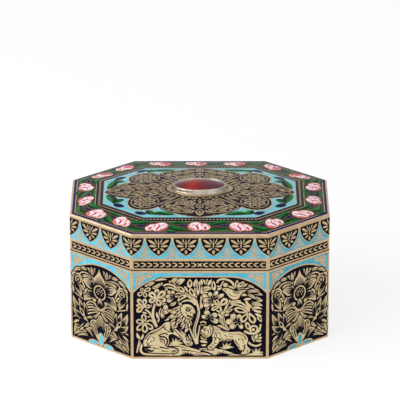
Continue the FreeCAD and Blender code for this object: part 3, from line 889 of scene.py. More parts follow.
# figure panel of the long walls: two beasts under a tree, among flowers
figurePanel = {
    "mounds": (
        ((-13.6, 4.2), (-11.4, 4.7), (-10.8, 5.6), (-8.0, 5.7), (-5.6, 5.2), (-3.0, 4.2), (0.0, 3.3),
            (2.6, 2.5), (5.0, 1.4), (-9.4, 1.3), (-8.8, 2.2), (-7.6, 3.1), (-8.0, 4.2)),
        ((-0.4, 4.0), (2.8, 4.2), (5.8, 4.2), (8.2, 4.1), (10.4, 3.2), (12.4, 2.3), (15.0, 1.8),
            (18.6, 2.1), (22.3, 2.0), (22.3, 1.3), (5.6, 1.3), (3.0, 2.7), (0.4, 3.5))),
    "moundLines": (
        (((-11.6, 4.75), (-9.4, 4.85), (-7.4, 4.8), (-5.0, 4.1)), 0.36, 0.1),
        (((-10.8, 6.0), (-8.2, 6.05), (-6.0, 5.5), (-4.2, 4.8)), 0.3, 0.3),
        (((-6.4, 3.4), (-3.8, 3.2), (-1.4, 2.7), (1.4, 2.1)), 0.3, 0.1),
        (((0.2, 2.9), (2.6, 2.4), (4.6, 1.5)), 0.4, 0.3),
        (((-1.8, 1.9), (0.6, 1.6), (3.2, 1.3)), 0.2, 0.1),
        (((6.0, 4.15), (8.0, 3.95), (10.0, 3.2), (12.0, 2.4), (14.2, 1.8)), 0.5, 0.4),
        (((0.6, 3.7), (3.0, 3.4), (5.4, 3.3)), 0.26, 0.08),
        (((9.8, 1.7), (12.0, 1.9), (14.6, 1.5)), 0.2, 0.1)),
    "stems": (
        (((-15.7, 21.4), (-16.2, 19.8), (-16.5, 18.0), (-16.4, 16.0), (-15.8, 14.3), (-15.2, 12.4)), 0.8,
            0.9),
        (((-19.2, 19.2), (-18.0, 18.3), (-17.2, 17.0), (-16.6, 15.6), (-15.9, 14.0)), 0.6, 0.6),
        (((-18.8, 14.3), (-17.6, 15.0), (-16.5, 14.4), (-15.8, 13.2), (-15.3, 12.4)), 0.6, 0.6),
        (((-22.2, 2.4), (-21.8, 5.0), (-21.2, 7.6)), 0.5, 0.4),
        (((-21.2, 2.6), (-21.4, 4.6), (-21.0, 6.4)), 0.4, 0.3),
        (((-1.3, 22.9), (-1.0, 21.4), (-0.5, 19.6), (-0.4, 17.4), (-0.9, 15.2), (-1.6, 12.8),
            (-1.9, 10.6), (-1.5, 8.4), (-1.0, 5.8)), 0.75, 1.1),
        (((-3.9, 13.2), (-3.4, 11.4), (-2.7, 9.4), (-1.9, 7.4), (-1.3, 5.9)), 0.45, 0.5),
        (((0.0, 13.0), (-0.3, 10.8), (-0.7, 8.6), (-0.8, 5.9)), 0.45, 0.45),
        (((-12.9, 28.4), (-11.2, 28.9), (-9.4, 28.4), (-7.6, 27.1), (-5.2, 25.6), (-2.6, 23.9),
            (-1.2, 22.4)), 0.6, 0.6),
        (((-12.3, 27.4), (-10.6, 27.6), (-8.6, 26.9), (-6.4, 25.6), (-3.6, 23.8), (-1.3, 22.0)), 0.6,
            0.5),
        (((-10.8, 30.0), (-9.4, 29.6), (-8.0, 28.5), (-6.6, 27.2)), 0.7, 0.45),
        (((-5.3, 28.0), (-4.3, 26.4), (-2.6, 24.8)), 0.7, 0.5),
        (((-1.7, 27.8), (-1.5, 25.6), (-1.3, 23.6)), 0.6, 0.7),
        (((-6.4, 21.9), (-4.6, 22.7), (-2.8, 22.3), (-1.4, 21.0)), 0.5, 0.9),
        (((7.2, 20.2), (7.6, 18.4), (8.1, 16.6), (8.5, 14.6), (9.1, 12.8), (10.2, 11.2)), 0.7, 0.9),
        (((8.4, 17.6), (9.3, 20.0), (10.5, 22.9)), 0.8, 0.7),
        (((8.9, 18.0), (10.2, 19.6), (11.6, 20.6)), 0.6, 0.5),
        (((10.8, 22.0), (12.6, 22.6), (14.4, 22.4)), 0.7, 0.5),
        (((10.8, 21.3), (13.4, 21.9), (15.0, 21.5), (16.4, 20.2), (17.2, 18.6)), 0.6, 0.6),
        (((11.2, 20.9), (13.2, 20.9), (15.4, 20.1), (17.0, 18.6)), 0.6, 0.5),
        (((16.2, 22.8), (16.8, 21.2), (17.3, 19.8), (17.2, 18.2)), 0.9, 0.7),
        (((16.4, 21.8), (18.0, 20.3), (19.6, 18.7), (21.6, 18.2)), 0.7, 0.9),
        (((6.1, 29.4), (6.6, 30.5), (8.4, 30.9), (10.4, 30.3), (11.7, 29.1), (12.4, 27.4)), 0.6, 0.9),
        (((6.1, 28.1), (7.3, 28.2), (7.7, 29.0), (8.3, 30.1)), 0.5, 0.4),
        (((13.3, 27.3), (15.5, 27.1), (17.2, 27.5), (18.1, 28.3)), 0.5, 0.4),
        (((15.7, 10.8), (17.4, 10.0), (19.4, 9.9), (20.8, 10.8), (21.3, 12.2), (21.5, 13.5)), 0.9, 0.6),
        (((0.2, 14.0), (1.2, 14.5), (2.1, 14.0), (1.5, 13.2), (0.4, 13.3)), 0.5, 0.4)),
    "flowers": (
        (-15.2, 23.4,
            ((-15.0, 27.3, 1.9), (-12.1, 26.3, 2.3), (-11.8, 22.7, 1.9), (-13.9, 20.5, 2.1),
            (-17.9, 22.1, 1.9), (-17.8, 25.8, 2.3)), "drop"),
        (-19.7, 20.2,
            ((-21.9, 23.4, 1.7), (-19.2, 23.5, 1.7), (-22.4, 20.9, 1.2), (-17.3, 20.5, 1.5),
            (-22.3, 18.3, 1.9)), "drop"),
        (-19.4, 14.2,
            ((-19.9, 17.5, 1.9), (-22.5, 14.8, 1.9), (-22.2, 11.0, 2.1), (-19.4, 10.1, 2.2),
            (-16.5, 11.5, 1.9)), "slit"),
        (-19.9, 26.2, ((-17.2, 27.4, 1.5), (-21.8, 24.5, 1.6), (-18.8, 23.9, 1.5), (-20.6, 27.5, 1.2)),
            "slit"),
        (-9.0, 23.9, ((-11.3, 26.5, 1.4), (-12.0, 24.4, 1.5), (-11.5, 22.2, 1.6), (-9.6, 26.6, 1.2)),
            "rays"),
        (4.5, 22.8,
            ((0.8, 24.9, 1.7), (1.1, 22.7, 1.8), (1.5, 20.3, 1.8), (3.3, 26.0, 1.4), (6.2, 26.5, 1.4),
            (8.6, 25.2, 1.4)), "rays"),
        (7.1, 20.6, ((5.0, 23.5, 1.8), (9.6, 23.4, 2.5), (3.8, 20.9, 1.5), (4.0, 19.0, 1.5)), "drop"),
        (3.5, 15.9, ((6.1, 17.6, 1.9), (6.5, 14.2, 1.9), (2.0, 18.9, 1.9), (0.6, 16.6, 1.5)), "rays"),
        (13.6, 14.6,
            ((11.0, 17.3, 2.2), (14.0, 17.4, 1.7), (9.0, 14.4, 2.3), (10.6, 11.9, 2.0),
            (15.0, 11.7, 1.5)), "rays"),
        (17.2, 18.1, ((12.0, 19.5, 2.1), (14.6, 14.2, 2.2), (19.3, 13.8, 2.5)), "slit")),
    "leaves": (
        (-18.4, 28.3, -15.8, 29.7, 1.3, 0.05, "vein"), (-17.0, 27.4, -13.9, 29.4, 1.3, -0.14, "vein"),
        (-15.8, 30.2, -11.4, 30.7, 0.8, 0.08, ""), (-14.2, 28.0, -13.0, 29.6, 0.7, 0.05, ""),
        (-12.6, 21.6, -10.9, 20.2, 0.8, 0.0, ""), (-10.7, 20.9, -8.2, 22.2, 1.1, -0.1, "vein"),
        (-17.9, 28.9, -19.4, 28.0, 0.7, 0.0, ""), (-13.4, 22.6, -12.7, 20.6, 0.6, 0.0, ""),
        (-17.6, 19.6, -16.9, 21.2, 0.6, 0.0, ""), (-20.4, 18.2, -18.4, 17.6, 0.6, 0.0, ""),
        (-17.4, 16.6, -18.6, 16.2, 0.5, 0.0, ""), (-14.8, 14.2, -14.2, 16.0, 0.6, 0.0, ""),
        (5.8, 18.9, 7.4, 18.0, 0.7, 0.0, ""), (10.6, 24.0, 12.4, 22.9, 0.6, 0.0, ""),
        (1.0, 12.6, 2.6, 13.4, 0.7, 0.1, ""), (-9.9, 29.7, -7.6, 30.9, 1.4, 0.1, ""),
        (-8.2, 28.6, -5.2, 30.8, 2.0, 0.1, "rays"), (-5.4, 25.7, -7.9, 28.0, 1.8, -0.05, "slit"),
        (-5.2, 25.1, -9.7, 24.1, 1.7, -0.05, "slit"), (-4.2, 24.6, -7.8, 22.2, 1.6, -0.15, "slit"),
        (-3.6, 27.4, -3.4, 31.0, 1.9, 0.0, "slit"), (-1.6, 24.0, -3.5, 27.7, 1.9, 0.05, "slit"),
        (-1.6, 27.5, -1.2, 31.0, 1.7, 0.0, "vein"), (-0.6, 24.6, 0.2, 30.4, 1.2, 0.05, "slit"),
        (-13.9, 15.9, -13.7, 20.0, 0.9, 0.05, "vein"), (-14.0, 15.2, -15.2, 18.3, 0.9, 0.1, ""),
        (-13.5, 16.0, -12.0, 21.0, 1.6, 0.0, "slit"), (-13.4, 15.8, -12.4, 17.8, 0.8, -0.1, ""),
        (-20.9, 7.6, -22.2, 10.2, 1.0, 0.1, ""), (-21.0, 7.4, -20.0, 9.9, 0.8, -0.1, ""),
        (-3.0, 13.0, -3.4, 15.2, 0.7, 0.0, ""), (-2.6, 7.0, -4.0, 9.6, 0.8, 0.1, ""),
        (0.3, 19.4, 0.3, 24.5, 1.4, -0.1, "slit"), (0.8, 26.6, 4.4, 27.3, 1.8, 0.1, "vein"),
        (0.3, 25.5, 3.4, 25.7, 0.7, 0.06, ""), (5.2, 26.4, 4.9, 30.3, 1.6, 0.05, "slit"),
        (2.7, 28.4, 1.1, 30.8, 1.0, 0.0, ""), (2.7, 28.5, 2.6, 31.0, 1.0, 0.0, "vein"),
        (2.8, 28.4, 4.2, 30.9, 1.0, 0.0, ""), (12.1, 27.2, 9.9, 28.4, 1.2, 0.1, ""),
        (12.8, 27.8, 13.2, 30.6, 1.2, 0.0, "slit"), (13.2, 27.7, 15.6, 30.0, 1.5, 0.0, "slit"),
        (13.5, 27.5, 17.3, 28.9, 1.2, 0.08, "vein"), (16.4, 25.9, 20.7, 25.9, 1.0, 0.1, "vein"),
        (16.5, 25.2, 20.0, 23.1, 1.0, 0.05, "vein"), (14.2, 24.7, 16.7, 24.5, 1.0, 0.1, ""),
        (15.4, 23.0, 18.3, 23.4, 1.0, 0.0, ""), (19.5, 17.6, 22.0, 16.3, 1.0, 0.0, ""),
        (20.1, 16.5, 21.7, 14.3, 1.3, 0.1, "slit"), (6.4, 17.7, 8.2, 15.0, 0.9, 0.05, ""),
        (6.3, 16.0, 8.7, 12.6, 1.0, 0.05, "vein"), (6.0, 13.0, 10.0, 10.9, 0.9, 0.1, ""),
        (9.0, 18.0, 11.7, 19.3, 1.3, 0.05, "slit"), (8.6, 16.9, 10.5, 17.4, 0.9, 0.0, ""),
        (16.3, 14.4, 17.2, 11.2, 1.8, 0.05, "slit"), (18.4, 9.3, 19.2, 6.5, 1.3, 0.1, "vein"),
        (19.6, 7.4, 20.3, 9.8, 1.0, 0.0, ""), (19.7, 7.3, 21.7, 9.9, 1.1, 0.0, "vein"),
        (19.7, 7.2, 22.1, 8.5, 1.0, 0.0, ""), (19.7, 7.1, 21.9, 7.0, 0.9, 0.0, ""),
        (0.0, 8.4, 2.5, 7.3, 1.3, 0.1, "vein"), (0.0, 6.8, 2.8, 6.2, 1.1, 0.1, ""),
        (-11.8, 2.0, -9.9, 1.9, 0.3, 0.0, ""), (17.0, 23.1, 22.2, 22.5, 2.2, 0.05, "petal"),
        (17.9, 21.2, 22.2, 20.6, 1.4, 0.1, "vein"), (18.2, 19.7, 22.0, 19.4, 1.0, 0.1, ""),
        (17.2, 25.4, 22.1, 24.7, 1.5, 0.1, "petal"), (0.9, 24.8, 0.9, 28.2, 0.8, 0.1, ""),
        (0.8, 28.5, 0.5, 31.0, 0.7, 0.0, ""), (2.0, 18.9, 3.4, 20.4, 0.9, 0.0, "vein"),
        (6.1, 26.8, 7.8, 27.7, 0.9, 0.0, ""), (-12.4, 26.2, -11.2, 27.4, 0.7, 0.0, ""),
        (-12.3, 23.4, -11.9, 25.6, 0.7, 0.1, ""), (-10.6, 22.4, -12.2, 22.2, 0.6, 0.0, ""),
        (16.6, 28.6, 19.2, 27.6, 0.9, 0.0, "vein"), (19.0, 27.2, 21.0, 26.2, 0.7, 0.0, ""),
        (2.4, 5.6, 0.4, 5.4, 0.8, 0.1, ""), (11.0, 16.6, 12.2, 18.0, 0.7, 0.0, "")),
    "lionBody": (
        (-19.3, 4.3), (-19.9, 5.7), (-19.8, 7.0), (-19.3, 8.5), (-18.4, 9.8), (-16.8, 11.0),
        (-14.9, 11.8), (-13.5, 12.9), (-12.4, 14.0), (-10.8, 14.4), (-9.4, 13.6), (-8.2, 12.7),
        (-7.0, 11.5), (-5.7, 10.2), (-4.4, 9.0), (-4.0, 7.9), (-2.9, 7.0), (-2.5, 6.1), (-2.9, 5.3),
        (-4.2, 5.1), (-5.0, 5.6), (-5.8, 6.7), (-6.5, 7.8), (-8.2, 9.0), (-9.6, 9.8), (-10.9, 9.3),
        (-11.1, 8.2), (-10.9, 7.0), (-11.1, 5.8), (-11.8, 4.6), (-9.4, 4.2), (-8.0, 3.6), (-7.8, 3.0),
        (-8.4, 2.4), (-10.8, 2.2), (-14.0, 2.3), (-17.5, 2.5), (-19.0, 3.2)),
    "lionLines": (
        (((-14.3, 8.6), (-12.6, 8.6), (-11.6, 7.6), (-11.5, 6.3), (-12.3, 5.0)), 0.42, 0.36),
        (((-14.3, 7.8), (-13.0, 7.6), (-12.4, 6.7), (-12.8, 5.7)), 0.38, 0.2),
        (((-14.0, 7.0), (-13.4, 6.8), (-13.3, 6.1)), 0.34, 0.12),
        (((-14.6, 9.0), (-13.2, 9.8), (-12.0, 9.9), (-11.3, 9.3)), 0.28, 0.3),
        (((-11.4, 10.5), (-10.4, 10.7), (-9.6, 10.3)), 0.34, 0.1),
        (((-19.3, 7.6), (-18.3, 9.2), (-16.6, 10.3), (-14.6, 11.1), (-13.2, 12.3), (-12.2, 13.2)), 0.26,
            0.22),
        (((-18.6, 7.2), (-17.8, 8.5), (-16.8, 9.2)), 0.3, 0.08),
        (((-19.3, 4.2), (-18.4, 4.6), (-17.2, 4.4)), 0.9, 0.3),
        (((-19.0, 3.5), (-18.0, 3.3), (-17.0, 3.0), (-16.2, 3.5)), 0.8, 0.25),
        (((-18.6, 5.6), (-17.6, 5.3), (-16.6, 5.3)), 0.36, 0.1),
        (((-14.2, 4.6), (-12.4, 4.3), (-11.0, 3.9)), 0.4, 0.2),
        (((-9.6, 3.3), (-8.6, 3.2), (-7.9, 3.3)), 0.3, 0.14),
        (((-10.2, 2.75), (-9.0, 2.75), (-8.1, 2.8)), 0.26, 0.12),
        (((-13.6, 3.2), (-12.2, 3.0), (-11.0, 3.0)), 0.3, 0.08),
        (((-10.4, 13.0), (-9.8, 11.7), (-9.2, 10.6)), 0.42, 0.2),
        (((-8.3, 12.0), (-7.0, 10.6), (-5.9, 9.4)), 0.4, 0.1),
        (((-9.2, 11.6), (-8.0, 10.2), (-7.0, 9.2)), 0.3, 0.08),
        (((-7.4, 9.2), (-6.3, 8.2), (-5.6, 7.0)), 0.28, 0.08),
        (((-5.2, 9.2), (-4.7, 8.2), (-4.4, 7.2)), 0.32, 0.1),
        (((-4.7, 6.3), (-4.0, 6.0), (-3.1, 6.2)), 0.28, 0.12),
        (((-4.5, 5.7), (-3.8, 5.45), (-3.0, 5.6)), 0.28, 0.12),
        (((-16.8, 8.6), (-16.1, 8.0), (-16.1, 7.2)), 0.26, 0.08),
        (((-17.4, 6.6), (-16.8, 7.1), (-16.0, 7.0)), 0.24, 0.08),
        (((-12.6, 11.8), (-11.6, 11.2), (-11.0, 10.9)), 0.26, 0.08),
        (((-7.9, 12.2), (-7.3, 11.4), (-6.8, 10.7)), 0.42, 0.12),
        (((-5.6, 10.9), (-4.9, 9.8), (-4.4, 8.6)), 0.42, 0.2),
        (((-10.5, 11.9), (-9.8, 10.9), (-9.2, 10.1)), 0.6, 0.16),
        (((-4.9, 7.5), (-3.8, 7.2), (-3.0, 6.5)), 0.34, 0.16),
        (((-16.6, 4.4), (-15.2, 4.0), (-14.2, 3.9)), 0.3, 0.08),
        (((-17.6, 9.6), (-16.0, 9.9), (-14.9, 10.5)), 0.24, 0.08),
        (((-13.2, 12.6), (-12.3, 12.0), (-11.8, 12.4)), 0.3, 0.1),
        (((-18.9, 6.4), (-18.2, 6.1), (-17.6, 6.3)), 0.3, 0.08)),
    "lionHead": (
        (-7.0, 21.2), (-6.05, 20.95), (-5.2, 21.2), (-4.3, 21.25), (-3.4, 21.0), (-2.75, 20.5),
        (-2.2, 19.8), (-1.85, 19.0), (-1.55, 18.1), (-2.0, 17.5), (-2.45, 17.15), (-2.3, 16.4),
        (-2.6, 15.7), (-3.2, 15.35), (-3.9, 15.45), (-4.8, 16.15), (-5.8, 17.0), (-6.6, 18.2),
        (-6.9, 19.4), (-7.3, 20.4)),
    "headRim": (
        (-6.2, 21.6), (-5.2, 21.75), (-4.2, 21.8), (-3.1, 21.5), (-2.2, 20.8), (-1.6, 19.9),
        (-1.25, 19.0), (-1.0, 18.1), (-1.5, 17.3), (-1.9, 16.9), (-1.8, 16.2), (-2.2, 15.3),
        (-3.1, 14.8)),
    "headLines": (
        (((-5.1, 19.6), (-4.2, 20.1), (-3.2, 19.8), (-2.7, 19.2)), 0.24, 0.16),
        (((-4.5, 16.95), (-3.7, 16.6), (-2.8, 16.25), (-2.1, 15.95)), 0.6, 0.36),
        (((-2.2, 18.0), (-2.1, 17.4), (-2.4, 16.9)), 0.26, 0.34),
        (((-5.0, 18.3), (-4.7, 17.7), (-4.8, 17.2)), 0.2, 0.08),
        (((-3.4, 18.2), (-2.9, 17.9), (-2.6, 18.2)), 0.16, 0.1),
        (((-3.9, 15.9), (-3.2, 15.7), (-2.7, 15.75)), 0.2, 0.1)),
    # where the mane's locks start along the face, and which way they hang
    "maneLine": ((-6.6, 21.0), (-6.9, 20.2), (-7.0, 19.3), (-6.8, 18.4), (-6.4, 17.5), (-5.8, 16.7),
        (-5.1, 16.1), (-4.4, 15.6), (-3.8, 15.2)),
    "maneTurn": (202.0, 264.0),
    "maneRows": ((4.3, 3.4, 1.0), (2.8, 3.3, 0.95), (1.3, 3.2, 0.9), (-0.2, 3.0, 0.8)),
    # locks: sway in degrees and its step; nearer and shorter at the chin; length, its change, step; width
    "maneSway": (7, 2.3), "maneFall": (0.35, 0.25), "maneLength": (0.85, 0.15, 1.9), "maneWidth": 0.72,
    "lionessBody": (
        (3.4, 12.9), (4.8, 12.9), (6.3, 12.4), (7.9, 11.2), (10.0, 10.5), (12.2, 10.5), (14.0, 10.6),
        (15.5, 9.9), (16.6, 8.8), (17.0, 7.2), (16.6, 5.8), (16.9, 4.8), (17.9, 3.7), (17.5, 2.6),
        (16.0, 1.9), (14.6, 2.0), (14.9, 2.8), (14.2, 3.6), (13.2, 4.6), (12.4, 6.0), (11.6, 7.3),
        (10.2, 7.0), (8.4, 6.9), (7.0, 6.9), (6.4, 5.9), (5.4, 4.8), (4.4, 3.8), (3.1, 3.8), (2.8, 4.8),
        (3.8, 5.8), (4.6, 7.2), (4.4, 9.0)),
    "lionessLines": (
        (((11.5, 7.7), (12.1, 6.4), (13.1, 5.0), (14.2, 4.2)), 0.4, 0.2),
        (((12.5, 7.2), (13.3, 6.0), (14.2, 5.0)), 0.3, 0.08),
        (((16.2, 7.6), (15.8, 8.8), (15.0, 9.8)), 0.3, 0.06),
        (((16.2, 5.5), (15.6, 5.0), (16.0, 4.2), (15.4, 3.4), (15.8, 2.6)), 0.3, 0.2),
        (((14.6, 3.6), (15.0, 3.0), (14.9, 2.5)), 0.26, 0.1),
        (((16.6, 3.4), (17.0, 3.0), (16.8, 2.5)), 0.2, 0.1),
        (((7.6, 6.8), (8.4, 7.4), (8.9, 7.0)), 0.3, 0.1),
        (((9.0, 6.9), (9.6, 7.6), (10.1, 7.2)), 0.3, 0.1),
        (((10.2, 7.2), (10.8, 7.8), (11.3, 7.7)), 0.3, 0.1),
        (((5.0, 8.6), (5.6, 7.8), (5.2, 6.9)), 0.36, 0.1),
        (((6.2, 8.4), (6.9, 7.8), (6.7, 7.0)), 0.26, 0.06),
        (((7.2, 11.4), (8.4, 10.7), (9.6, 10.3)), 0.24, 0.06),
        (((10.2, 9.9), (11.6, 9.7), (12.8, 9.8)), 0.18, 0.06),
        (((10.5, 9.0), (11.2, 8.7), (11.8, 8.9)), 0.16, 0.06),
        (((3.3, 4.9), (3.6, 4.5), (3.6, 4.0)), 0.24, 0.14),
        (((4.0, 5.0), (4.3, 4.6), (4.3, 4.1)), 0.24, 0.14),
        (((5.4, 10.2), (6.0, 9.2), (5.9, 8.0)), 0.26, 0.08),
        (((6.6, 10.6), (7.3, 9.6), (7.4, 8.4)), 0.2, 0.06),
        (((7.0, 7.2), (7.6, 8.0), (8.1, 7.6)), 0.26, 0.08),
        (((13.0, 9.8), (14.2, 9.6), (15.0, 8.8)), 0.2, 0.06),
        (((14.8, 8.0), (15.4, 7.0), (15.2, 5.8)), 0.22, 0.06),
        (((8.6, 9.4), (9.4, 9.0), (9.8, 8.4)), 0.18, 0.05),
        (((5.0, 6.4), (5.6, 6.0), (5.9, 6.3)), 0.24, 0.08),
        (((4.2, 5.6), (4.9, 5.4), (5.2, 5.0)), 0.2, 0.06)),
    "lionessHead": (
        (0.15, 10.4), (0.5, 11.2), (0.9, 11.7), (1.4, 12.3), (1.8, 13.0), (2.4, 12.6), (3.0, 12.9),
        (3.7, 13.3), (4.2, 12.6), (4.5, 11.6), (4.3, 10.2), (3.6, 9.0), (2.7, 8.5), (2.0, 8.3),
        (1.3, 8.8), (0.6, 9.3), (0.5, 9.8)),
    "lionessFace": (
        (((1.0, 11.6), (1.7, 11.95), (2.5, 11.6)), 0.24, 0.14),
        (((0.6, 9.9), (1.3, 10.2), (1.9, 9.8)), 0.26, 0.1),
        (((0.7, 9.35), (1.4, 9.5), (2.2, 9.0)), 0.36, 0.16),
        (((2.7, 11.4), (3.1, 10.5), (2.8, 9.5)), 0.28, 0.1),
        (((3.5, 11.9), (3.9, 10.8), (3.6, 9.7)), 0.28, 0.1),
        (((3.3, 12.5), (3.7, 12.7), (4.0, 12.3)), 0.3, 0.16),
        (((1.6, 8.7), (2.3, 8.85), (3.0, 9.3)), 0.2, 0.08)),
    "bird": (
        (7.9, 27.0), (8.6, 27.5), (9.6, 27.5), (10.8, 27.1), (12.0, 26.4), (13.4, 26.4), (14.8, 26.7),
        (16.4, 26.6), (15.0, 25.7), (14.2, 24.6), (13.7, 23.6), (12.6, 23.1), (11.4, 23.2), (10.4, 24.0),
        (9.7, 24.9), (9.1, 25.8), (8.4, 26.4)),
    "wing": (
        (((11.6, 26.3), (11.9, 25.7), (12.5, 25.2)), 0.26, 0.1),
        (((12.15, 26.3), (12.45, 25.7), (13.0, 25.2)), 0.26, 0.1),
        (((12.7, 26.3), (13.0, 25.7), (13.5, 25.2)), 0.26, 0.1),
        (((13.25, 26.3), (13.55, 25.7), (14.0, 25.2)), 0.26, 0.1),
        (((10.2, 25.2), (11.8, 24.3), (13.6, 24.6)), 0.2, 0.1),
        (((13.6, 26.0), (14.6, 26.2), (15.6, 26.4)), 0.2, 0.06)),
    "birdEye": (9.0, 26.8, 0.3, 0.24),
    # grass: place, size, blades, ink
    "tufts": (
        (-5.8, 1.2, 1.7, 7, "dark"), (-4.5, 1.2, 2.3, 9, "dark"), (-3.1, 1.2, 1.8, 7, "dark"),
        (6.5, 1.2, 1.8, 7, "dark"), (7.9, 1.2, 2.6, 9, "dark"), (9.3, 1.2, 1.9, 7, "dark"),
        (20.2, 1.9, 2.8, 11, "gold"), (-8.4, 5.4, 3.2, 13, "gold"), (9.6, 3.9, 2.9, 12, "gold")),
    "trunkLine": (
        (((-0.6, 19.0), (-0.5, 17.2), (-1.0, 15.0), (-1.7, 12.6), (-2.0, 10.6), (-1.5, 8.0)), 0.14,
            0.3),),
    # curl: centre, radius, width, start, sweep
    "curl": (19.1, 11.6, 1.3, 0.7, -1.2, 5.2), "curlEye": (18.9, 11.4, 0.55),
    "buds": ((9.0, 28.7, 0.85, 0.8), (-12.0, 20.0, 0.8, 1.05)),
    "tails": (
        ((-19.8, 6.2), (-20.6, 5.0), (-20.9, 3.6), (-20.3, 2.3), (-18.5, 1.8), (-14.0, 1.75),
            (-11.4, 1.65), (-9.6, 1.5)),
        ((16.4, 8.4), (16.9, 7.0), (17.8, 5.9), (19.2, 5.2), (20.6, 5.2), (21.7, 5.9))),
    "lionEar": (-6.4, 20.4, -7.3, 22.0, 1.1, 0.0, "vein"),
    "lionEye": ((-5.1, 18.9), (-3.1, 18.75), 1.4), "lionPupil": (-4.05, 19.05, 0.27, 0.24),
    # eye, nose and flank of the lioness
    "lionessSpots": ((1.75, 11.2, 0.42), (0.4, 10.5, 0.36), (13.8, 7.7, 0.34)),
    # dots on its shoulder: first place, step along, shift of every other row, step down, size
    "mottle": (5.0, 12.1, 0.64, 0.3, 0.56, 0.18), "mottleCount": 16, "mottleRow": 3,
    # dark edges of leaves, buds and locks; widths of tails and of the edge of the lion's head
    "leafRim": 0.28, "budRim": 0.3, "maneRim": 0.3, "tailWidth": (0.85, 0.6), "headRimWidth": (0.7, 0.4),
    # height of the lioness's spots as a share of their width
    "spotHeight": 0.85,
}
beastRim = 0.42


def layBeast(page, outline, rows, level, bold):
    # body with its dark outline and inner lines
    shape = through(outline, 3, True)
    lay(page, "dark", grown(shape, beastRim), level)
    lay(page, "gold", shape, level + 1)
    layLines(page, rows, level + 2, bold=bold)


def drawMane(page, shape, level):
    # rows of locks, the inner ones over the outer ones
    line = through(shape["maneLine"], 2)
    first, last = shape["maneTurn"]
    sway, swayStep = shape["maneSway"]
    nearer, shorter = shape["maneFall"]
    even, change, changeStep = shape["maneLength"]
    for row, (start, length, width) in enumerate(shape["maneRows"]):
        for k, (x, y) in list(enumerate(line))[row % 2::2]:
            share = k / (len(line) - 1)
            a = math.radians(first + (last - first) * share + sway * math.sin(swayStep * k + row))
            ca, sa = math.cos(a), math.sin(a)
            away = start * (1 - nearer * share)
            vary = even + change * math.sin(changeStep * k + 2 * row)
            reach = away + length * (1 - shorter * share) * vary
            foot, tip = (x + ca * away, y + sa * away), (x + ca * reach, y + sa * reach)
            lock = leaf(foot, tip, width * shape["maneWidth"], bend=0.08, belly=0.8, steps=6)
            turn = level + 2 * row
            lay(page, "dark", grown(lock, shape["maneRim"]), turn)
            lay(page, "gold", lock, turn + 1)


def drawFigurePanel(shape):
    page = {}
    for mound in shape["mounds"]:
        lay(page, "gold", mound, 0)
    layLines(page, shape["moundLines"], 1, bold=1.5)
    for tuft in shape["tufts"]:
        layTuft(page, *tuft, 2)
    layStems(page, shape["stems"], 2)
    layLines(page, shape["trunkLine"], 4)
    layLeaves(page, shape["leaves"], 4, shape["leafRim"])
    for x, y, petals, mark in shape["flowers"]:
        layFlower(page, x, y, petals, mark, 13)
    # curl and round buds
    x, y, radius, width, start, sweep = shape["curl"]
    for band in hoop(x, y, radius, radius, width, start, sweep, 16):
        lay(page, "gold", band, 19)
    lay(page, "gold", disc(*shape["curlEye"], sides=10), 19)
    for x, y, rx, ry in shape["buds"]:
        lay(page, "dark", disc(x, y, rx + shape["budRim"], ry + shape["budRim"]), 18)
        lay(page, "gold", disc(x, y, rx, ry), 19)
    # bird, then the beasts
    layBeast(page, shape["bird"], shape["wing"], 20, bold=1.4)
    lay(page, "dark", disc(*shape["birdEye"], sides=9), 22)
    layStems(page, [(points, *shape["tailWidth"]) for points in shape["tails"]], 20, rim=0.25)
    layBeast(page, shape["lionBody"], shape["lionLines"], 22, bold=1.55)
    lay(page, "dark", ribbon(shape["headRim"], *shape["headRimWidth"]), 25)
    lay(page, "gold", through(shape["lionHead"], 3, True), 26)
    layLines(page, shape["headLines"], 27, bold=1.35)
    layLeaf(page, *shape["lionEar"], level=27, rim=0.2)
    drawMane(page, shape, 27)
    lay(page, "dark", leaf(*shape["lionEye"], bend=0.1, belly=1.0, steps=6), 28)
    lay(page, "gold", disc(*shape["lionPupil"], sides=9), 29)
    layBeast(page, shape["lionessBody"], shape["lionessLines"], 22, bold=1.7)
    layBeast(page, shape["lionessHead"], shape["lionessFace"], 25, bold=1.4)
    for x, y, radius in shape["lionessSpots"]:
        lay(page, "dark", disc(x, y, radius, radius * shape["spotHeight"], sides=9), 28)
    x, y, along, shift, down, size = shape["mottle"]
    for k in range(shape["mottleCount"]):
        row, place = divmod(k, shape["mottleRow"])
        dotX = x + along * place + shift * (row % 2)
        lay(page, "dark", disc(dotX, y - down * row, size, sides=7), 28)
    return page


# a wall's edge: gold flourish in each upper corner, and lines that bring the panel close to the corners
wallEdge = {
    # flourish, from its own corner: leaves by foot, tip, width, bend; stems
    "leaves": (
        (-2.1, -1.0, -4.5, -2.1, 1.0, 0.12), (-3.9, -0.9, -6.3, -1.5, 0.8, 0.1),
        (-1.1, -2.0, -2.3, -4.3, 1.0, -0.12), (-0.95, -3.5, -1.6, -5.6, 0.75, -0.1),
        (-1.5, -1.5, -3.4, -3.3, 0.9, 0.0), (-4.4, -0.6, -5.8, -0.2, 0.45, 0.0)),
    "stems": (
        ((-0.8, -0.9), (-2.6, -0.7), (-4.4, -0.9), (-6.4, -0.75)),
        ((-0.7, -1.0), (-0.75, -2.6), (-0.6, -4.0), (-0.75, -5.6)),
        ((-0.7, -0.8), (-1.3, -1.4), (-1.9, -1.9))),
    "stemWidth": (0.55, 0.24), "inset": 1.1, "top": 33.2,
    # upright lines: inset, from, to, width; line along the foot: inset, height, width
    "uprights": {"dark": (0.82, 0.95, 25.7, 0.5), "turquoise": (0.86, 26.5, 33.2, 0.42)},
    "foot": (0.57, 0.96, 0.4),
}


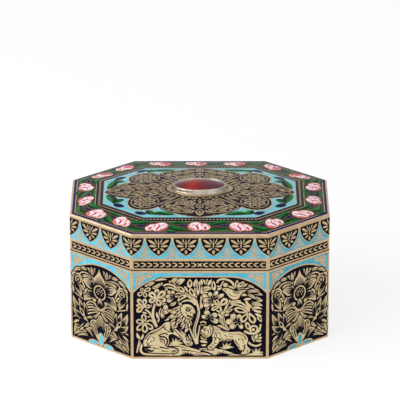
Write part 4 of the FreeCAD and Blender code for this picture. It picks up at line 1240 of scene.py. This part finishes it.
def wallFrame(half, shape):
    page = {}
    x, y = half - shape["inset"], shape["top"]
    for x0, y0, x1, y1, width, bend in shape["leaves"]:
        lay(page, "tan", leaf((x + x0, y + y0), (x + x1, y + y1), width, bend), 1)
    for points in shape["stems"]:
        lay(page, "tan", ribbon([(x + px, y + py) for px, py in points], *shape["stemWidth"]), 1)
    for ink, (inset, low, high, width) in shape["uprights"].items():
        lay(page, ink, strip((half - inset, low), (half - inset, high), width), 0)
    page = joined(page, mirrored(page))
    inset, height, width = shape["foot"]
    lay(page, "dark", strip((inset - half, height), (half - inset, height), width), 1)
    return page


flowerPage = drawFlowerPanel(flowerPanel)
figurePage = drawFigurePanel(figurePanel)
for side in range(sideCount):
    if side in panelStance:
        page, inks = stood(flowerPage, *panelStance[side]), sideInks
    else:
        page, inks = figurePage if side == 0 else mirrored(figurePage), wallInks
    page = joined(page, wallFrame(sideLength(side) / 2, wallEdge))
    layPage("wall_" + sideNames[side], page, onSide(side), "base", inks)
print("wall panels drawn")

# lid wall: leaf in every petal, sprig between petals, arrow band
lidWall = {
    "petals": (5, 3, 3, 3, 5, 3, 3, 3),
    # half outline of a petal: share of the pitch, height
    "outline": ((0.455, 46.45), (0.448, 45.3), (0.405, 43.8), (0.315, 42.3), (0.175, 40.9), (0.0, 39.75)),
    # lobes of the leaf: foot, tip, width
    "lobes": (
        (0.5, 44.3, 1.3, 46.2, 0.42), (0.9, 44.0, 3.65, 45.85, 0.9), (0.7, 43.3, 3.3, 43.6, 0.8),
        (0.5, 42.6, 2.05, 41.8, 0.74)),
    "middle": ((0.0, 42.0, 0.0, 40.3, 0.95), (0.0, 42.4, 0.0, 46.2, 0.42)),
    # pitch that the lobes are drawn for, gold line round a petal, top of the petals
    "pitch": 9.6, "rim": 0.27, "top": 46.45,
    # sprig between petals: leaves by foot, tip, width, bend
    "sprig": ((0.1, 39.3, 2.9, 39.35, 0.48, 0.08), (0.1, 39.8, 2.1, 40.5, 0.5, 0.1),
        (0.1, 40.7, 1.4, 41.7, 0.46, 0.1), (0.1, 41.6, 0.8, 42.7, 0.4, 0.0)),
    "stem": ((0.0, 39.2), (0.0, 41.0), (0.0, 43.6)), "stemWidth": (0.36, 0.2, 0.2),
    # painted shadow in the joint's gap, as a dark line: its height, and its width by side
    "seam": 34.2, "paintedSeamShadowWidths": (0.36, 0.4, 0.4, 0.4, 0.4, 0.4, 0.4, 0.4),
    "arrow": ((-0.8, 0.7), (0.2, 0.54), (0.8, 0.0), (0.2, -0.54), (-0.8, -0.7)),
    "arrowPitch": 2.2, "arrowEnd": 0.8, "arrowMiddle": 36.3, "arrowWidth": (0.25, 0.25, 0.32),
    # crossed leaves where the arrows meet: half length, half height, width; reach of that place
    "cross": (0.9, 0.8, 0.6), "crossReach": 0.5,
}


def drawPetals(shape):
    page = {}
    for side in range(sideCount):
        # painted shadow: a dark strip along the joint between lid and base
        ends = [(cornerRun[k], shape["seam"]) for k in (side, side + 1)]
        lay(page, "dark", strip(*ends, shape["paintedSeamShadowWidths"][side]), 0)
        pitch = sideLength(side) / shape["petals"][side]
        before = sideLength(side - 1) / shape["petals"][side - 1]
        for k in range(shape["petals"][side]):
            middle = cornerRun[side] + pitch * k
            between = middle + pitch / 2
            # a corner petal takes each half from its own side
            left = before if k == 0 else pitch
            outline = [(middle + share * pitch, v) for share, v in shape["outline"]]
            outline += [(middle - share * left, v) for share, v in shape["outline"][-2::-1]]
            lay(page, "gold", [(x, min(v, shape["top"])) for x, v in grown(outline, shape["rim"])], 0)
            lay(page, "dark", outline, 1)
            for x0, y0, x1, y1, width in shape["middle"]:
                layLeaf(page, middle + x0, y0, middle + x1, y1, width, level=2)
            for flip in (1, -1):
                spread = (pitch if flip > 0 else left) / shape["pitch"]
                for x0, y0, x1, y1, width in shape["lobes"]:
                    angle = math.atan2(y1 - y0, flip * (x1 - x0) * spread)
                    reach = math.hypot(y1 - y0, (x1 - x0) * spread)
                    foot = (middle + flip * x0 * spread, y0)
                    lay(page, "gold", paddle(foot, angle, 0.0, reach, width, 5), 2)
                for x0, y0, x1, y1, width, bend in shape["sprig"]:
                    foot, tip = (between + flip * x0, y0), (between + flip * x1, y1)
                    sprig = leaf(foot, tip, width, flip * bend, belly=0.9, steps=5)
                    lay(page, "tan", sprig, 0)
            stem = [(between + x, y) for x, y in shape["stem"]]
            lay(page, "tan", ribbon(stem, *shape["stemWidth"], 3), 1)
    return page


def drawArrows(shape):
    # arrows run round from the back to the front on both sides
    page = {}
    y = shape["arrowMiddle"]
    for side in range(sideCount):
        reach = sideLength(side) - 2 * shape["arrowEnd"]
        count = round(reach / shape["arrowPitch"])
        if side in (0, 4):
            count += 1 - count % 2
        for k in range(count):
            x = cornerRun[side] + shape["arrowEnd"] + reach * (k + 0.5) / count
            fromFront = (x - hf + girth / 2) % girth - girth / 2
            if min(abs(fromFront), girth / 2 - abs(fromFront)) < shape["crossReach"]:
                along, up, width = shape["cross"]
                for turn in (up, -up):
                    lay(page, "gold",
                        leaf((x - along, y - turn), (x + along, y + turn), width, 0, 1.0, 6), 0)
                continue
            way = -1 if fromFront > 0 else 1
            points = [(x + way * px, y + py) for px, py in shape["arrow"]]
            lay(page, "gold", ribbon(points, *shape["arrowWidth"], 4), 0)
    return page


layPage("lid_leaves", drawPetals(lidWall), onGirth, "lid", lidInks, girthCuts)
layPage("lid_arrows", drawArrows(lidWall), onGirth, "lid", lidInks, girthCuts)
print("lid wall drawn")

# rose border of the lid top: u along the rim, v outwards from the border's middle
roseBorder = {
    "middle": 5.3, "blueLine": (4.1, 0.85),
    # places of the roses along each side, from its middle
    "spots": ((-16.2, -0.4, 15.4), (-8.2, 7.2), (-6.0, 8.6), (-7.2, 7.8), (-13.9, 1.3, 15.6), (-6.8, 5.9),
        (-8.2, 6.6), (-7.4, 6.2)),
    # open rose and the half-open one beside it: half sizes, shift; stray; every seventh is turned
    "bloom": (2.95, 2.65), "bloomShift": (-1.05, 0.0), "bud": (2.2, 2.05), "budShift": (2.05, 0.35),
    "stray": 0.15, "turned": 7, "rim": 0.2,
    # coloured edges of a rose: from and to in radians, width, ink
    "edges": ((2.5, 5.2, 0.72, "pink"), (3.0, 4.6, 0.42, "red"), (0.2, 1.3, 0.3, "pink")),
    # inset of an edge as a share of its width; half sizes of the rose that the strokes are drawn for
    "edgeInset": 0.42, "strokeSize": (2.95, 2.6),
    # width at an edge's ends; a stroke's width at start and end and its swelling, as shares of its width
    "edgeEnd": 0.08, "strokeTaper": (0.6, 0.16, 0.4),
    # strokes of a rose: line, width, ink
    "strokes": (
        (((0.1, 0.2), (0.5, 0.9), (1.2, 2.0)), 0.6, "red"),
        (((0.1, 0.4), (0.7, -0.8), (0.8, -2.3)), 1.25, "red"),
        (((0.0, 0.3), (-0.9, 0.5), (-2.1, 0.3)), 0.6, "pink"),
        (((-2.3, -0.9), (-1.2, -1.3), (-0.3, -2.3)), 0.5, "red"),
        (((1.6, 1.2), (2.2, 0.3), (2.0, -1.0)), 0.5, "pink"),
        (((-1.6, 1.7), (-0.7, 1.3), (0.2, 1.5)), 0.36, "pink"),
        (((-1.9, 1.2), (-1.5, 1.0), (-1.0, 1.0)), 0.8, "ice"),
        (((-0.5, -0.5), (-0.7, -1.2), (-0.6, -1.9)), 0.7, "ice")),
    # more strokes for the roses at the back, the reddest
    "deepSides": (3, 4, 5),
    "deepStrokes": (
        (((-2.4, 0.2), (-1.4, 0.9), (-0.4, 2.1)), 3.0, "red"),
        (((-1.9, -1.5), (-0.6, -1.0), (0.6, 0.8)), 2.4, "red")),
    # leaves of a gap: foot, tip, width, bend, ink; half length drawn for, room for the roses, gold rim
    "gapHalf": 4.4, "room": 2.9, "leafRim": 0.06,
    "gapLow": ((-4.2, -2.8, 3.9, -2.8, 1.8, 0.03, "green"), (-4.6, -1.6, 4.2, 2.2, 2.6, 0.1, "green"),
               (-4.6, 2.5, 1.0, 2.8, 1.3, 0.06, "green"), (-0.5, -1.0, 3.5, -1.2, 1.2, 0.05, "navy")),
    "gapHigh": ((4.4, -2.8, -4.2, -0.1, 2.6, 0.1, "green"), (-4.6, 2.1, 4.3, 2.1, 2.2, -0.03, "green"),
                (-4.6, -2.5, -0.4, -2.9, 1.3, 0.05, "green"),
                (-0.8, -0.2, 3.6, -0.6, 1.2, -0.05, "navy")),
}


# bead row: middle and dark band's width, pitch along the rim, half sizes of a bead
beadRow = {"middle": 10.2, "band": 2.6, "pitch": 1.458, "bead": (0.52, 0.4)}


def layGreenery(page, base, tip, width, bend, ink, rim, way=1, level=0):
    # enamelled leaf in a gold rim; a green one has a darker half
    belly = 0.9
    outline = leaf(base, tip, width, bend, belly, 7)
    lay(page, "gold", grown(outline, rim), level)
    lay(page, ink, outline, level + 1)
    if ink == "green":
        lay(page, "pine", halfLeaf(base, tip, width, bend, belly, way), level + 2)


def drawBloom(page, shape, x, y, size, way, strokes, level):
    # white head, coral at its lower edge, with pink and red strokes between the petals
    rx, ry = size
    lay(page, "peach", disc(x, y, rx + shape["rim"], ry + shape["rim"], sides=24), level)
    lay(page, "white", disc(x, y, rx, ry, sides=24), level + 1)
    for first, last, swell, ink in shape["edges"]:
        line = []
        inset = swell * shape["edgeInset"]
        for k in range(7):
            a = first + (last - first) * k / 6
            line.append((x + way * (rx - inset) * math.cos(a), y - (ry - inset) * math.sin(a)))
        lay(page, ink, ribbon(line, shape["edgeEnd"], shape["edgeEnd"], swell, 2), level + 2)
    drawnX, drawnY = shape["strokeSize"]
    for points, width, ink in strokes:
        line = [(x + way * px * rx / drawnX, y - py * ry / drawnY) for px, py in points]
        taper = [width * share for share in shape["strokeTaper"]]
        lay(page, ink, ribbon(line, *taper, 3), level + 3)


def drawRose(page, shape, x, y, flip, deep):
    strokes = shape["strokes"] + (shape["deepStrokes"] if deep else ())
    for kind, chosen, level in (("bud", strokes[1:2] + strokes[4:6], 3), ("bloom", strokes, 7)):
        along, up = shape[kind + "Shift"]
        drawBloom(page, shape, x + along * flip, y + up, shape[kind], flip, chosen, level)


def drawBorder(shape):
    page, places = {}, []
    for side in range(sideCount):
        for spot in shape["spots"][side]:
            places.append((cornerRun[side] + sideLength(side) / 2 + spot, side in shape["deepSides"]))
    for k, (u, deep) in enumerate(places):
        drawRose(page, shape, u, shape["stray"] * (-1) ** k, 1 if k % shape["turned"] else -1, deep)
        nextU = places[(k + 1) % len(places)][0] + (girth if k == len(places) - 1 else 0)
        gap = (u + nextU) / 2
        wide = ((nextU - u) / 2 - shape["room"]) / shape["gapHalf"]
        for x0, y0, x1, y1, width, bend, ink in shape["gapLow" if k % 2 == 0 else "gapHigh"]:
            base, tip = (gap + wide * x0, y0), (gap + wide * x1, y1)
            level = 0 if ink == "green" else 2
            layGreenery(page, base, tip, width, bend, ink, shape["leafRim"], (-1) ** k, level)
    # the blue line, a little over its bed
    v, width = shape["blueLine"]
    for side in range(sideCount):
        lay(page, "cobalt", strip((cornerRun[side], v), (cornerRun[side + 1], v), width), 0)
    return page


def drawBeads(shape):
    page = {}
    count = round(girth / shape["pitch"])
    for k in range(count):
        lay(page, "gold", disc(girth * (k + 0.5) / count, 0.0, *shape["bead"], sides=8), 1)
    for side in range(sideCount):
        lay(page, "dark", strip((cornerRun[side], 0.0), (cornerRun[side + 1], 0.0), shape["band"]), 0)
    return page


layPage("rose_border", drawBorder(roseBorder), onRing(roseBorder["middle"]), "lid", topInks, girthCuts)
layPage("bead_row", drawBeads(beadRow), onRing(beadRow["middle"]), "lid", topInks, girthCuts)
print("rose border drawn")

# medallion and the sprays in the turquoise, one quarter mirrored to four; mm from the middle of the lid
# leaves: foot, tip, width, bend, mark or ink
medallionShape = {
    "scrolls": (
        ((1.3, 8.8), (3.4, 8.3), (5.4, 9.4), (5.6, 11.4), (4.0, 12.4), (2.6, 11.6), (3.2, 10.4),
            (4.2, 10.6)),
        ((2.0, 14.2), (4.2, 13.6), (7.0, 12.9), (9.4, 14.0), (9.7, 15.9), (8.2, 16.9), (6.8, 16.2),
            (7.2, 14.9), (8.3, 15.0)),
        ((1.9, 16.4), (3.4, 15.4), (5.3, 15.8), (5.7, 17.4), (4.5, 18.3), (3.4, 17.6), (4.0, 16.8)),
        ((12.6, 1.2), (15.0, 0.9), (17.4, 1.9), (17.9, 3.9), (16.4, 5.0), (14.9, 4.2), (15.4, 2.9),
            (16.5, 3.2)),
        ((18.2, 0.8), (20.6, 0.9), (22.7, 2.1), (22.9, 4.1), (21.4, 5.1), (20.0, 4.3), (20.5, 3.0),
            (21.5, 3.2)),
        ((23.2, 0.8), (25.4, 0.8), (27.4, 1.8), (27.6, 3.4), (26.2, 4.4), (25.0, 3.8), (25.4, 2.6),
            (26.3, 2.8))),
    "leaves": (
        (5.6, 9.6, 4.4, 13.2, 1.3, 0.2, "vein"), (2.4, 11.6, 1.3, 13.9, 1.0, 0.1, ""),
        (9.6, 15.0, 6.4, 17.6, 1.5, 0.25, "vein"), (6.6, 13.2, 8.8, 11.9, 1.0, 0.1, ""),
        (5.6, 16.4, 4.2, 18.9, 1.2, 0.2, "vein"), (3.2, 15.5, 5.6, 14.4, 0.9, 0.1, ""),
        (10.2, 13.2, 12.6, 14.8, 1.1, 0.1, ""), (7.0, 18.6, 10.2, 18.3, 0.8, 0.05, ""),
        (2.2, 17.6, 2.9, 19.5, 0.9, 0.1, ""), (17.9, 2.4, 15.3, 5.0, 1.3, 0.25, "vein"),
        (22.9, 2.6, 20.4, 5.0, 1.3, 0.25, "vein"), (27.6, 2.0, 25.3, 4.3, 1.2, 0.25, "vein"),
        (14.0, 1.5, 16.3, 3.2, 0.9, 0.1, ""), (19.4, 1.4, 21.4, 3.2, 0.9, 0.1, ""),
        (24.4, 1.3, 26.2, 2.8, 0.8, 0.1, ""), (5.4, 8.4, 8.9, 12.0, 1.6, 0.06, "slit"),
        (5.9, 11.6, 7.4, 12.4, 0.9, 0.0, ""), (1.3, 12.9, 3.6, 13.0, 1.0, 0.1, ""),
        (9.9, 14.6, 12.2, 16.2, 1.3, 0.0, "vein"), (6.0, 17.6, 9.6, 17.9, 1.1, 0.05, "vein"),
        (2.5, 18.6, 5.4, 18.9, 0.9, 0.0, ""), (10.2, 17.0, 11.4, 17.0, 0.9, 0.0, ""),
        (1.3, 10.4, 2.3, 9.9, 0.9, 0.0, ""), (8.4, 6.8, 13.0, 11.4, 1.5, 0.06, "slit"),
        (9.8, 6.0, 14.2, 9.2, 1.5, 0.08, "vein"), (11.4, 5.0, 15.6, 7.2, 1.5, 0.1, "slit"),
        (12.4, 3.4, 14.6, 5.4, 1.2, 0.0, "vein"), (9.2, 8.9, 13.0, 13.0, 1.1, 0.0, ""),
        (12.9, 11.9, 13.6, 13.6, 0.8, 0.0, ""), (16.6, 5.6, 19.6, 5.9, 1.1, 0.1, ""),
        (18.3, 2.0, 19.4, 4.6, 1.1, 0.0, "vein"), (23.3, 2.2, 24.2, 4.8, 1.1, 0.0, "vein"),
        (21.6, 5.9, 25.0, 5.9, 0.9, 0.05, ""), (27.9, 1.0, 30.8, 1.6, 1.3, 0.1, "vein"),
        (27.9, 3.6, 29.4, 3.3, 0.8, 0.0, ""), (25.6, 5.3, 28.0, 4.5, 0.8, 0.0, "")),
    # leaves on the long axis
    "axisLeaves": (
        (13.2, 0.0, 17.6, 0.0, 1.0, 0.0, "slit"), (18.6, 0.0, 22.8, 0.0, 1.0, 0.0, "slit"),
        (23.6, 0.0, 27.6, 0.0, 1.0, 0.0, "slit"), (28.4, 0.0, 33.0, 0.0, 1.5, 0.0, "slit")),
    "leafRim": 0.22, "lineRim": 0.3, "sprayRim": 0.1, "scrollWidth": (0.9, 0.7, 0.25),
    "lines": (
        (((13.7, 15.2), (9.8, 11.2), (6.2, 7.6)), 0.55), (((14.9, 13.9), (11.2, 10.2), (7.7, 7.0)), 0.45),
        (((15.0, 7.4), (18.0, 6.4), (22.0, 6.6), (25.0, 6.7)), 0.4),
        (((32.8, 0.6), (29.7, 3.9), (25.2, 6.5)), 0.5),
        (((2.6, 19.9), (6.2, 19.5), (10.2, 18.6), (12.9, 16.8), (13.7, 15.4)), 0.5)),
    # round lobe: centre, radius; line width; petals by count, foot, tip, width; marks in them; eye
    "lobe": (19.5, 11.0, 5.1), "lobeLine": 0.4, "lobePetals": (8, 1.0, 4.3, 2.1),
    "lobeMarks": (1.5, 3.6, 0.75), "lobeEye": (1.4, 0.95, 0.4),
    # middle of the short points: oval's height and half sizes, its leaf, the leaves below and above it
    "oval": (14.6, ((1.75, 2.3, 20), (1.4, 1.95, 20), (0.9, 1.4, 16))),
    "ovalLeaf": ((0, 13.6), (0, 15.7), 0.8),
    "footLeaf": (0.0, 12.5, 0.0, 8.6, 1.1, 0.0, "slit"), "tipLeaf": (0.0, 16.9, 0.0, 21.9, 3.2),
    "tipMarks": (((0, 17.3), (0, 20.6), 1.8), ((0, 18.0), (0, 20.2), 0.8)),
    # ring round the seat: half sizes, width; its fringe of leaves: count, foot, reach in x and y, width
    "ring": (12.9, 7.3, 0.4), "fringe": (36, 0.4, 2.1, 1.9, 1.15),
    "sprays": (
        (8.6, 21.0, 18.6, 20.4, 2.7, -0.08, "green"), (17.4, 20.9, 18.9, 17.6, 2.9, -0.1, "green"),
        (18.8, 20.4, 23.0, 18.2, 2.4, 0.05, "navy"), (33.2, 2.6, 30.2, 11.2, 3.2, 0.06, "green"),
        (31.0, 10.6, 26.8, 8.4, 3.0, 0.1, "green"), (30.6, 11.0, 26.6, 14.0, 2.6, -0.05, "navy")),
    "specks": (
        (13.6, 17.6), (14.4, 18.3), (15.2, 17.2), (16.0, 18.1), (16.6, 17.2), (20.4, 17.3), (21.2, 16.6),
        (22.0, 17.4), (22.8, 16.4), (23.6, 17.0), (24.2, 15.9), (25.2, 16.1), (25.4, 14.8), (25.2, 8.6),
        (26.0, 10.2), (25.6, 12.0), (32.6, 7.4), (32.9, 9.4), (31.9, 11.6), (6.4, 21.4), (8.0, 20.6),
        (5.0, 21.0), (3.4, 22.0)),
    # half sizes and tilt of a speck
    "speck": (0.22, 0.3, 0.4),
}


def drawMedallion(shape):
    quarter = {}
    for points in shape["scrolls"]:
        lay(quarter, "gold", ribbon(points, *shape["scrollWidth"]), 0)
    layLeaves(quarter, shape["leaves"], 1, shape["leafRim"])
    for points, width in shape["lines"]:
        outline = ribbon(points, width, width)
        lay(quarter, "dark", grown(outline, shape["lineRim"]), 10)
        lay(quarter, "gold", outline, 11)
    for x, y in shape["specks"]:
        lay(quarter, "gold", disc(x, y, *shape["speck"], 8), 0)
    x, y, radius = shape["lobe"]
    for step, ink in enumerate(("dark", "gold", "dark")):
        lay(quarter, ink, disc(x, y, radius + shape["lobeLine"] * (1 - step), sides=28), 12 + step)
    count, foot, tip, width = shape["lobePetals"]
    first, last, markWidth = shape["lobeMarks"]
    for k in range(count):
        a = 2 * math.pi * (k + 0.5) / count
        ca, sa = math.cos(a), math.sin(a)
        lay(quarter, "gold", paddle((x, y), a, foot, tip, width, 5), 15)
        ends = [(x + reach * ca, y + reach * sa) for reach in (first, last)]
        lay(quarter, "dark", leaf(*ends, markWidth, belly=1.0, steps=5), 16)
    for step, (ink, sides) in enumerate((("dark", 14), ("gold", 12), ("dark", 9))):
        lay(quarter, ink, disc(x, y, shape["lobeEye"][step], sides=sides), 17 + step)
    for x0, y0, x1, y1, width, bend, ink in shape["sprays"]:
        layGreenery(quarter, (x0, y0), (x1, y1), width, bend, ink, shape["sprayRim"])
    half = joined(quarter, mirrored(quarter))
    y, rings = shape["oval"]
    for step, (rx, ry, sides) in enumerate(rings):
        lay(half, "gold" if step == 1 else "dark", disc(0, y, rx, ry, sides=sides), 12 + step)
    lay(half, "gold", leaf(*shape["ovalLeaf"], belly=1.0), 15)
    layLeaf(half, *shape["footLeaf"], level=12, rim=0.2)
    layLeaf(half, *shape["tipLeaf"], level=12, rim=0.25)
    for step, mark in enumerate(shape["tipMarks"]):
        lay(half, "gold" if step else "dark", leaf(*mark, belly=0.8), 15 + step)
    axis = {}
    for row in shape["axisLeaves"]:
        layLeaf(axis, *row, level=20, rim=shape["leafRim"])
    page = joined(half, moved(half, lambda x, y: (x, -y)), axis, mirrored(axis))
    rx, ry, width = shape["ring"]
    for band in hoop(0, 0, rx, ry, width, sides=48):
        lay(page, "gold", band, 21)
    count, foot, far, up, width = shape["fringe"]
    for k in range(count):
        a = 2 * math.pi * (k + 0.5) / count
        ca, sa = math.cos(a), math.sin(a)
        layLeaf(page, (rx + foot) * ca, (ry + foot) * sa, (rx + far) * ca, (ry + up) * sa, width,
            level=21, rim=0.2)
    return page


layPage("medallion", drawMedallion(medallionShape), onTop, "lid", topInks, topCuts)
print("medallion drawn")

# bezel round the stone: rounded, with soft dents from the hammer
# lines: half sizes and height; dents: count, depth, lines they touch; second dents: share, count, shift
bezelShape = {"segments": 160, "dents": 14, "dentDepth": 0.025, "dented": (2, 8),
    "second": (0.6, 11, 1.0), "lines": (
    (10.2, 6.3, 51.0), (10.15, 6.27, 51.2), (10.05, 6.2, 51.4), (9.95, 6.1, 51.6), (9.85, 6.03, 51.9),
    (9.8, 6.0, 52.25), (9.65, 5.9, 52.55), (9.4, 5.75, 52.72), (9.1, 5.55, 52.74), (8.86, 5.4, 52.66),
    (8.72, 5.3, 52.5), (8.7, 5.28, 51.3))}
# gilded foot of the bezel
bezelFoot = {"segments": 120, "dents": 40, "dentDepth": 0.06, "dented": (2, 8), "second": (0.6, 11, 1.0),
    "lines": (
    (10.95, 6.95, 50.75), (10.9, 6.9, 51.0), (10.75, 6.78, 51.18), (10.5, 6.55, 51.26), (10.2, 6.3, 51.2),
    (10.0, 6.15, 51.05), (10.0, 6.15, 50.75))}


def makeBezel(shape):
    bm = bmesh.new()
    rings = []
    firstDented, lastDented = shape["dented"]
    share, count, shift = shape["second"]
    for index, (rx, ry, height) in enumerate(shape["lines"]):
        made = bmesh.ops.create_circle(bm, segments=shape["segments"], radius=1.0)
        for vert in made["verts"]:
            a = math.atan2(vert.co.y, vert.co.x)
            dent = 0.0
            if firstDented <= index <= lastDented:
                dent = math.sin(shape["dents"] * a) + share * math.sin(count * a + shift)
                dent *= shape["dentDepth"]
            vert.co = Vector(((rx + dent) * math.cos(a), (ry + dent) * math.sin(a), height))
        rings.append(list({edge for vert in made["verts"] for edge in vert.link_edges}))
    for first, last in zip(rings, rings[1:] + rings[:1]):
        bmesh.ops.bridge_loops(bm, edges=first + last)
    bmesh.ops.recalc_face_normals(bm, faces=bm.faces)
    for face in bm.faces:
        face.smooth = True
    return bm


bezel = finishPiece("bezel", makeBezel(bezelShape), asDrawn, "lid", gilt["silver"])
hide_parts("collet")
finishPiece("bezel_foot", makeBezel(bezelFoot), asDrawn, "lid", gilt["medallion"])
print("bezel made")

# camera: low and far away, as in the photograph
cameraSet = {
    "rise": 23.66, "tip": 0.954, "distance": 1.25424, "aimHeight": 0.02386, "aside": 0.00008,
    "lens": 312.9, "sensor": 36.0, "farthest": 20.0,
}
rise, distance = math.radians(cameraSet["rise"]), cameraSet["distance"]
camera = bpy.data.objects.new("camera", bpy.data.cameras.new("camera"))
scene.collection.objects.link(camera)
camera.data.sensor_width = cameraSet["sensor"]
camera.data.lens = cameraSet["lens"]
camera.data.clip_end = cameraSet["farthest"]
camera.location = (
    cameraSet["aside"], -math.cos(rise) * distance, cameraSet["aimHeight"] + math.sin(rise) * distance)
camera.rotation_euler = (math.radians(90 - cameraSet["rise"] + cameraSet["tip"]), 0, 0)
scene.camera = camera

# pale floor and soft light from the upper left
floorSet = {"size": 4.0, "drop": 0.0001, "glow": 1.03, "lift": 0.8}
floorBm = bmesh.new()
bmesh.ops.create_grid(floorBm, x_segments=1, y_segments=1, size=floorSet["size"])
bmesh.ops.translate(floorBm, verts=floorBm.verts, vec=(0, 0, -floorSet["drop"]))
floorMesh = bpy.data.meshes.new("floor")
floorBm.to_mesh(floorMesh)
floorBm.free()
floor = bpy.data.objects.new("floor", floorMesh)
scene.collection.objects.link(floor)
floorLook, floorTree, floorShader = newLook("pale_floor")
setInputs(floorShader, {"Base Color": grey(0.93), "Roughness": 0.9, "Specular IOR Level": 0.1})
# where it is seen, also in a reflection, the floor is lifted towards white; it keeps a light shadow
floorGlow = addNode(floorTree, "ShaderNodeEmission", {"Strength": floorSet["glow"]})
floorLift = mathNode(floorTree, "MULTIPLY", {1: floorSet["lift"]})
floorMix = addNode(floorTree, "ShaderNodeMixShader")
wire(
    floorTree,
    (seenNode(floorTree), "Value", floorLift, 0), (floorLift, "Value", floorMix, "Fac"),
    (floorShader, "BSDF", floorMix, 1), (floorGlow, "Emission", floorMix, 2),
    (floorMix, "Shader", floorTree.nodes["Material Output"], "Surface"))
floorMesh.materials.append(floorLook)

# lamp: place, aim, size, power; the world's light, and its strength where it is seen
lightSet = {
    "place": (-0.72, -0.45, 0.68), "aim": (0, 0, 0.02), "size": 0.95, "power": 11.5,
    "world": {"To Min": 0.52, "To Max": 1.0},
}
lamp = bpy.data.lights.new("key", "AREA")
lamp.shape = "SQUARE"
lamp.size = lightSet["size"]
lamp.energy = lightSet["power"]
key = bpy.data.objects.new("key", lamp)
key.location = lightSet["place"]
away = Vector(lightSet["aim"]) - Vector(lightSet["place"])
key.rotation_euler = away.to_track_quat("-Z", "Y").to_euler()
scene.collection.objects.link(key)

world = bpy.data.worlds.new("studio")
world.use_nodes = True
scene.world = world
worldTree = world.node_tree
background = worldTree.nodes["Background"]
setInputs(background, {"Color": grey(1.0)})
strength = addNode(worldTree, "ShaderNodeMapRange", lightSet["world"])
wire(worldTree, (seenNode(worldTree), "Value", strength, "Value"),
     (strength, "Result", background, "Strength"))
print("stage set")
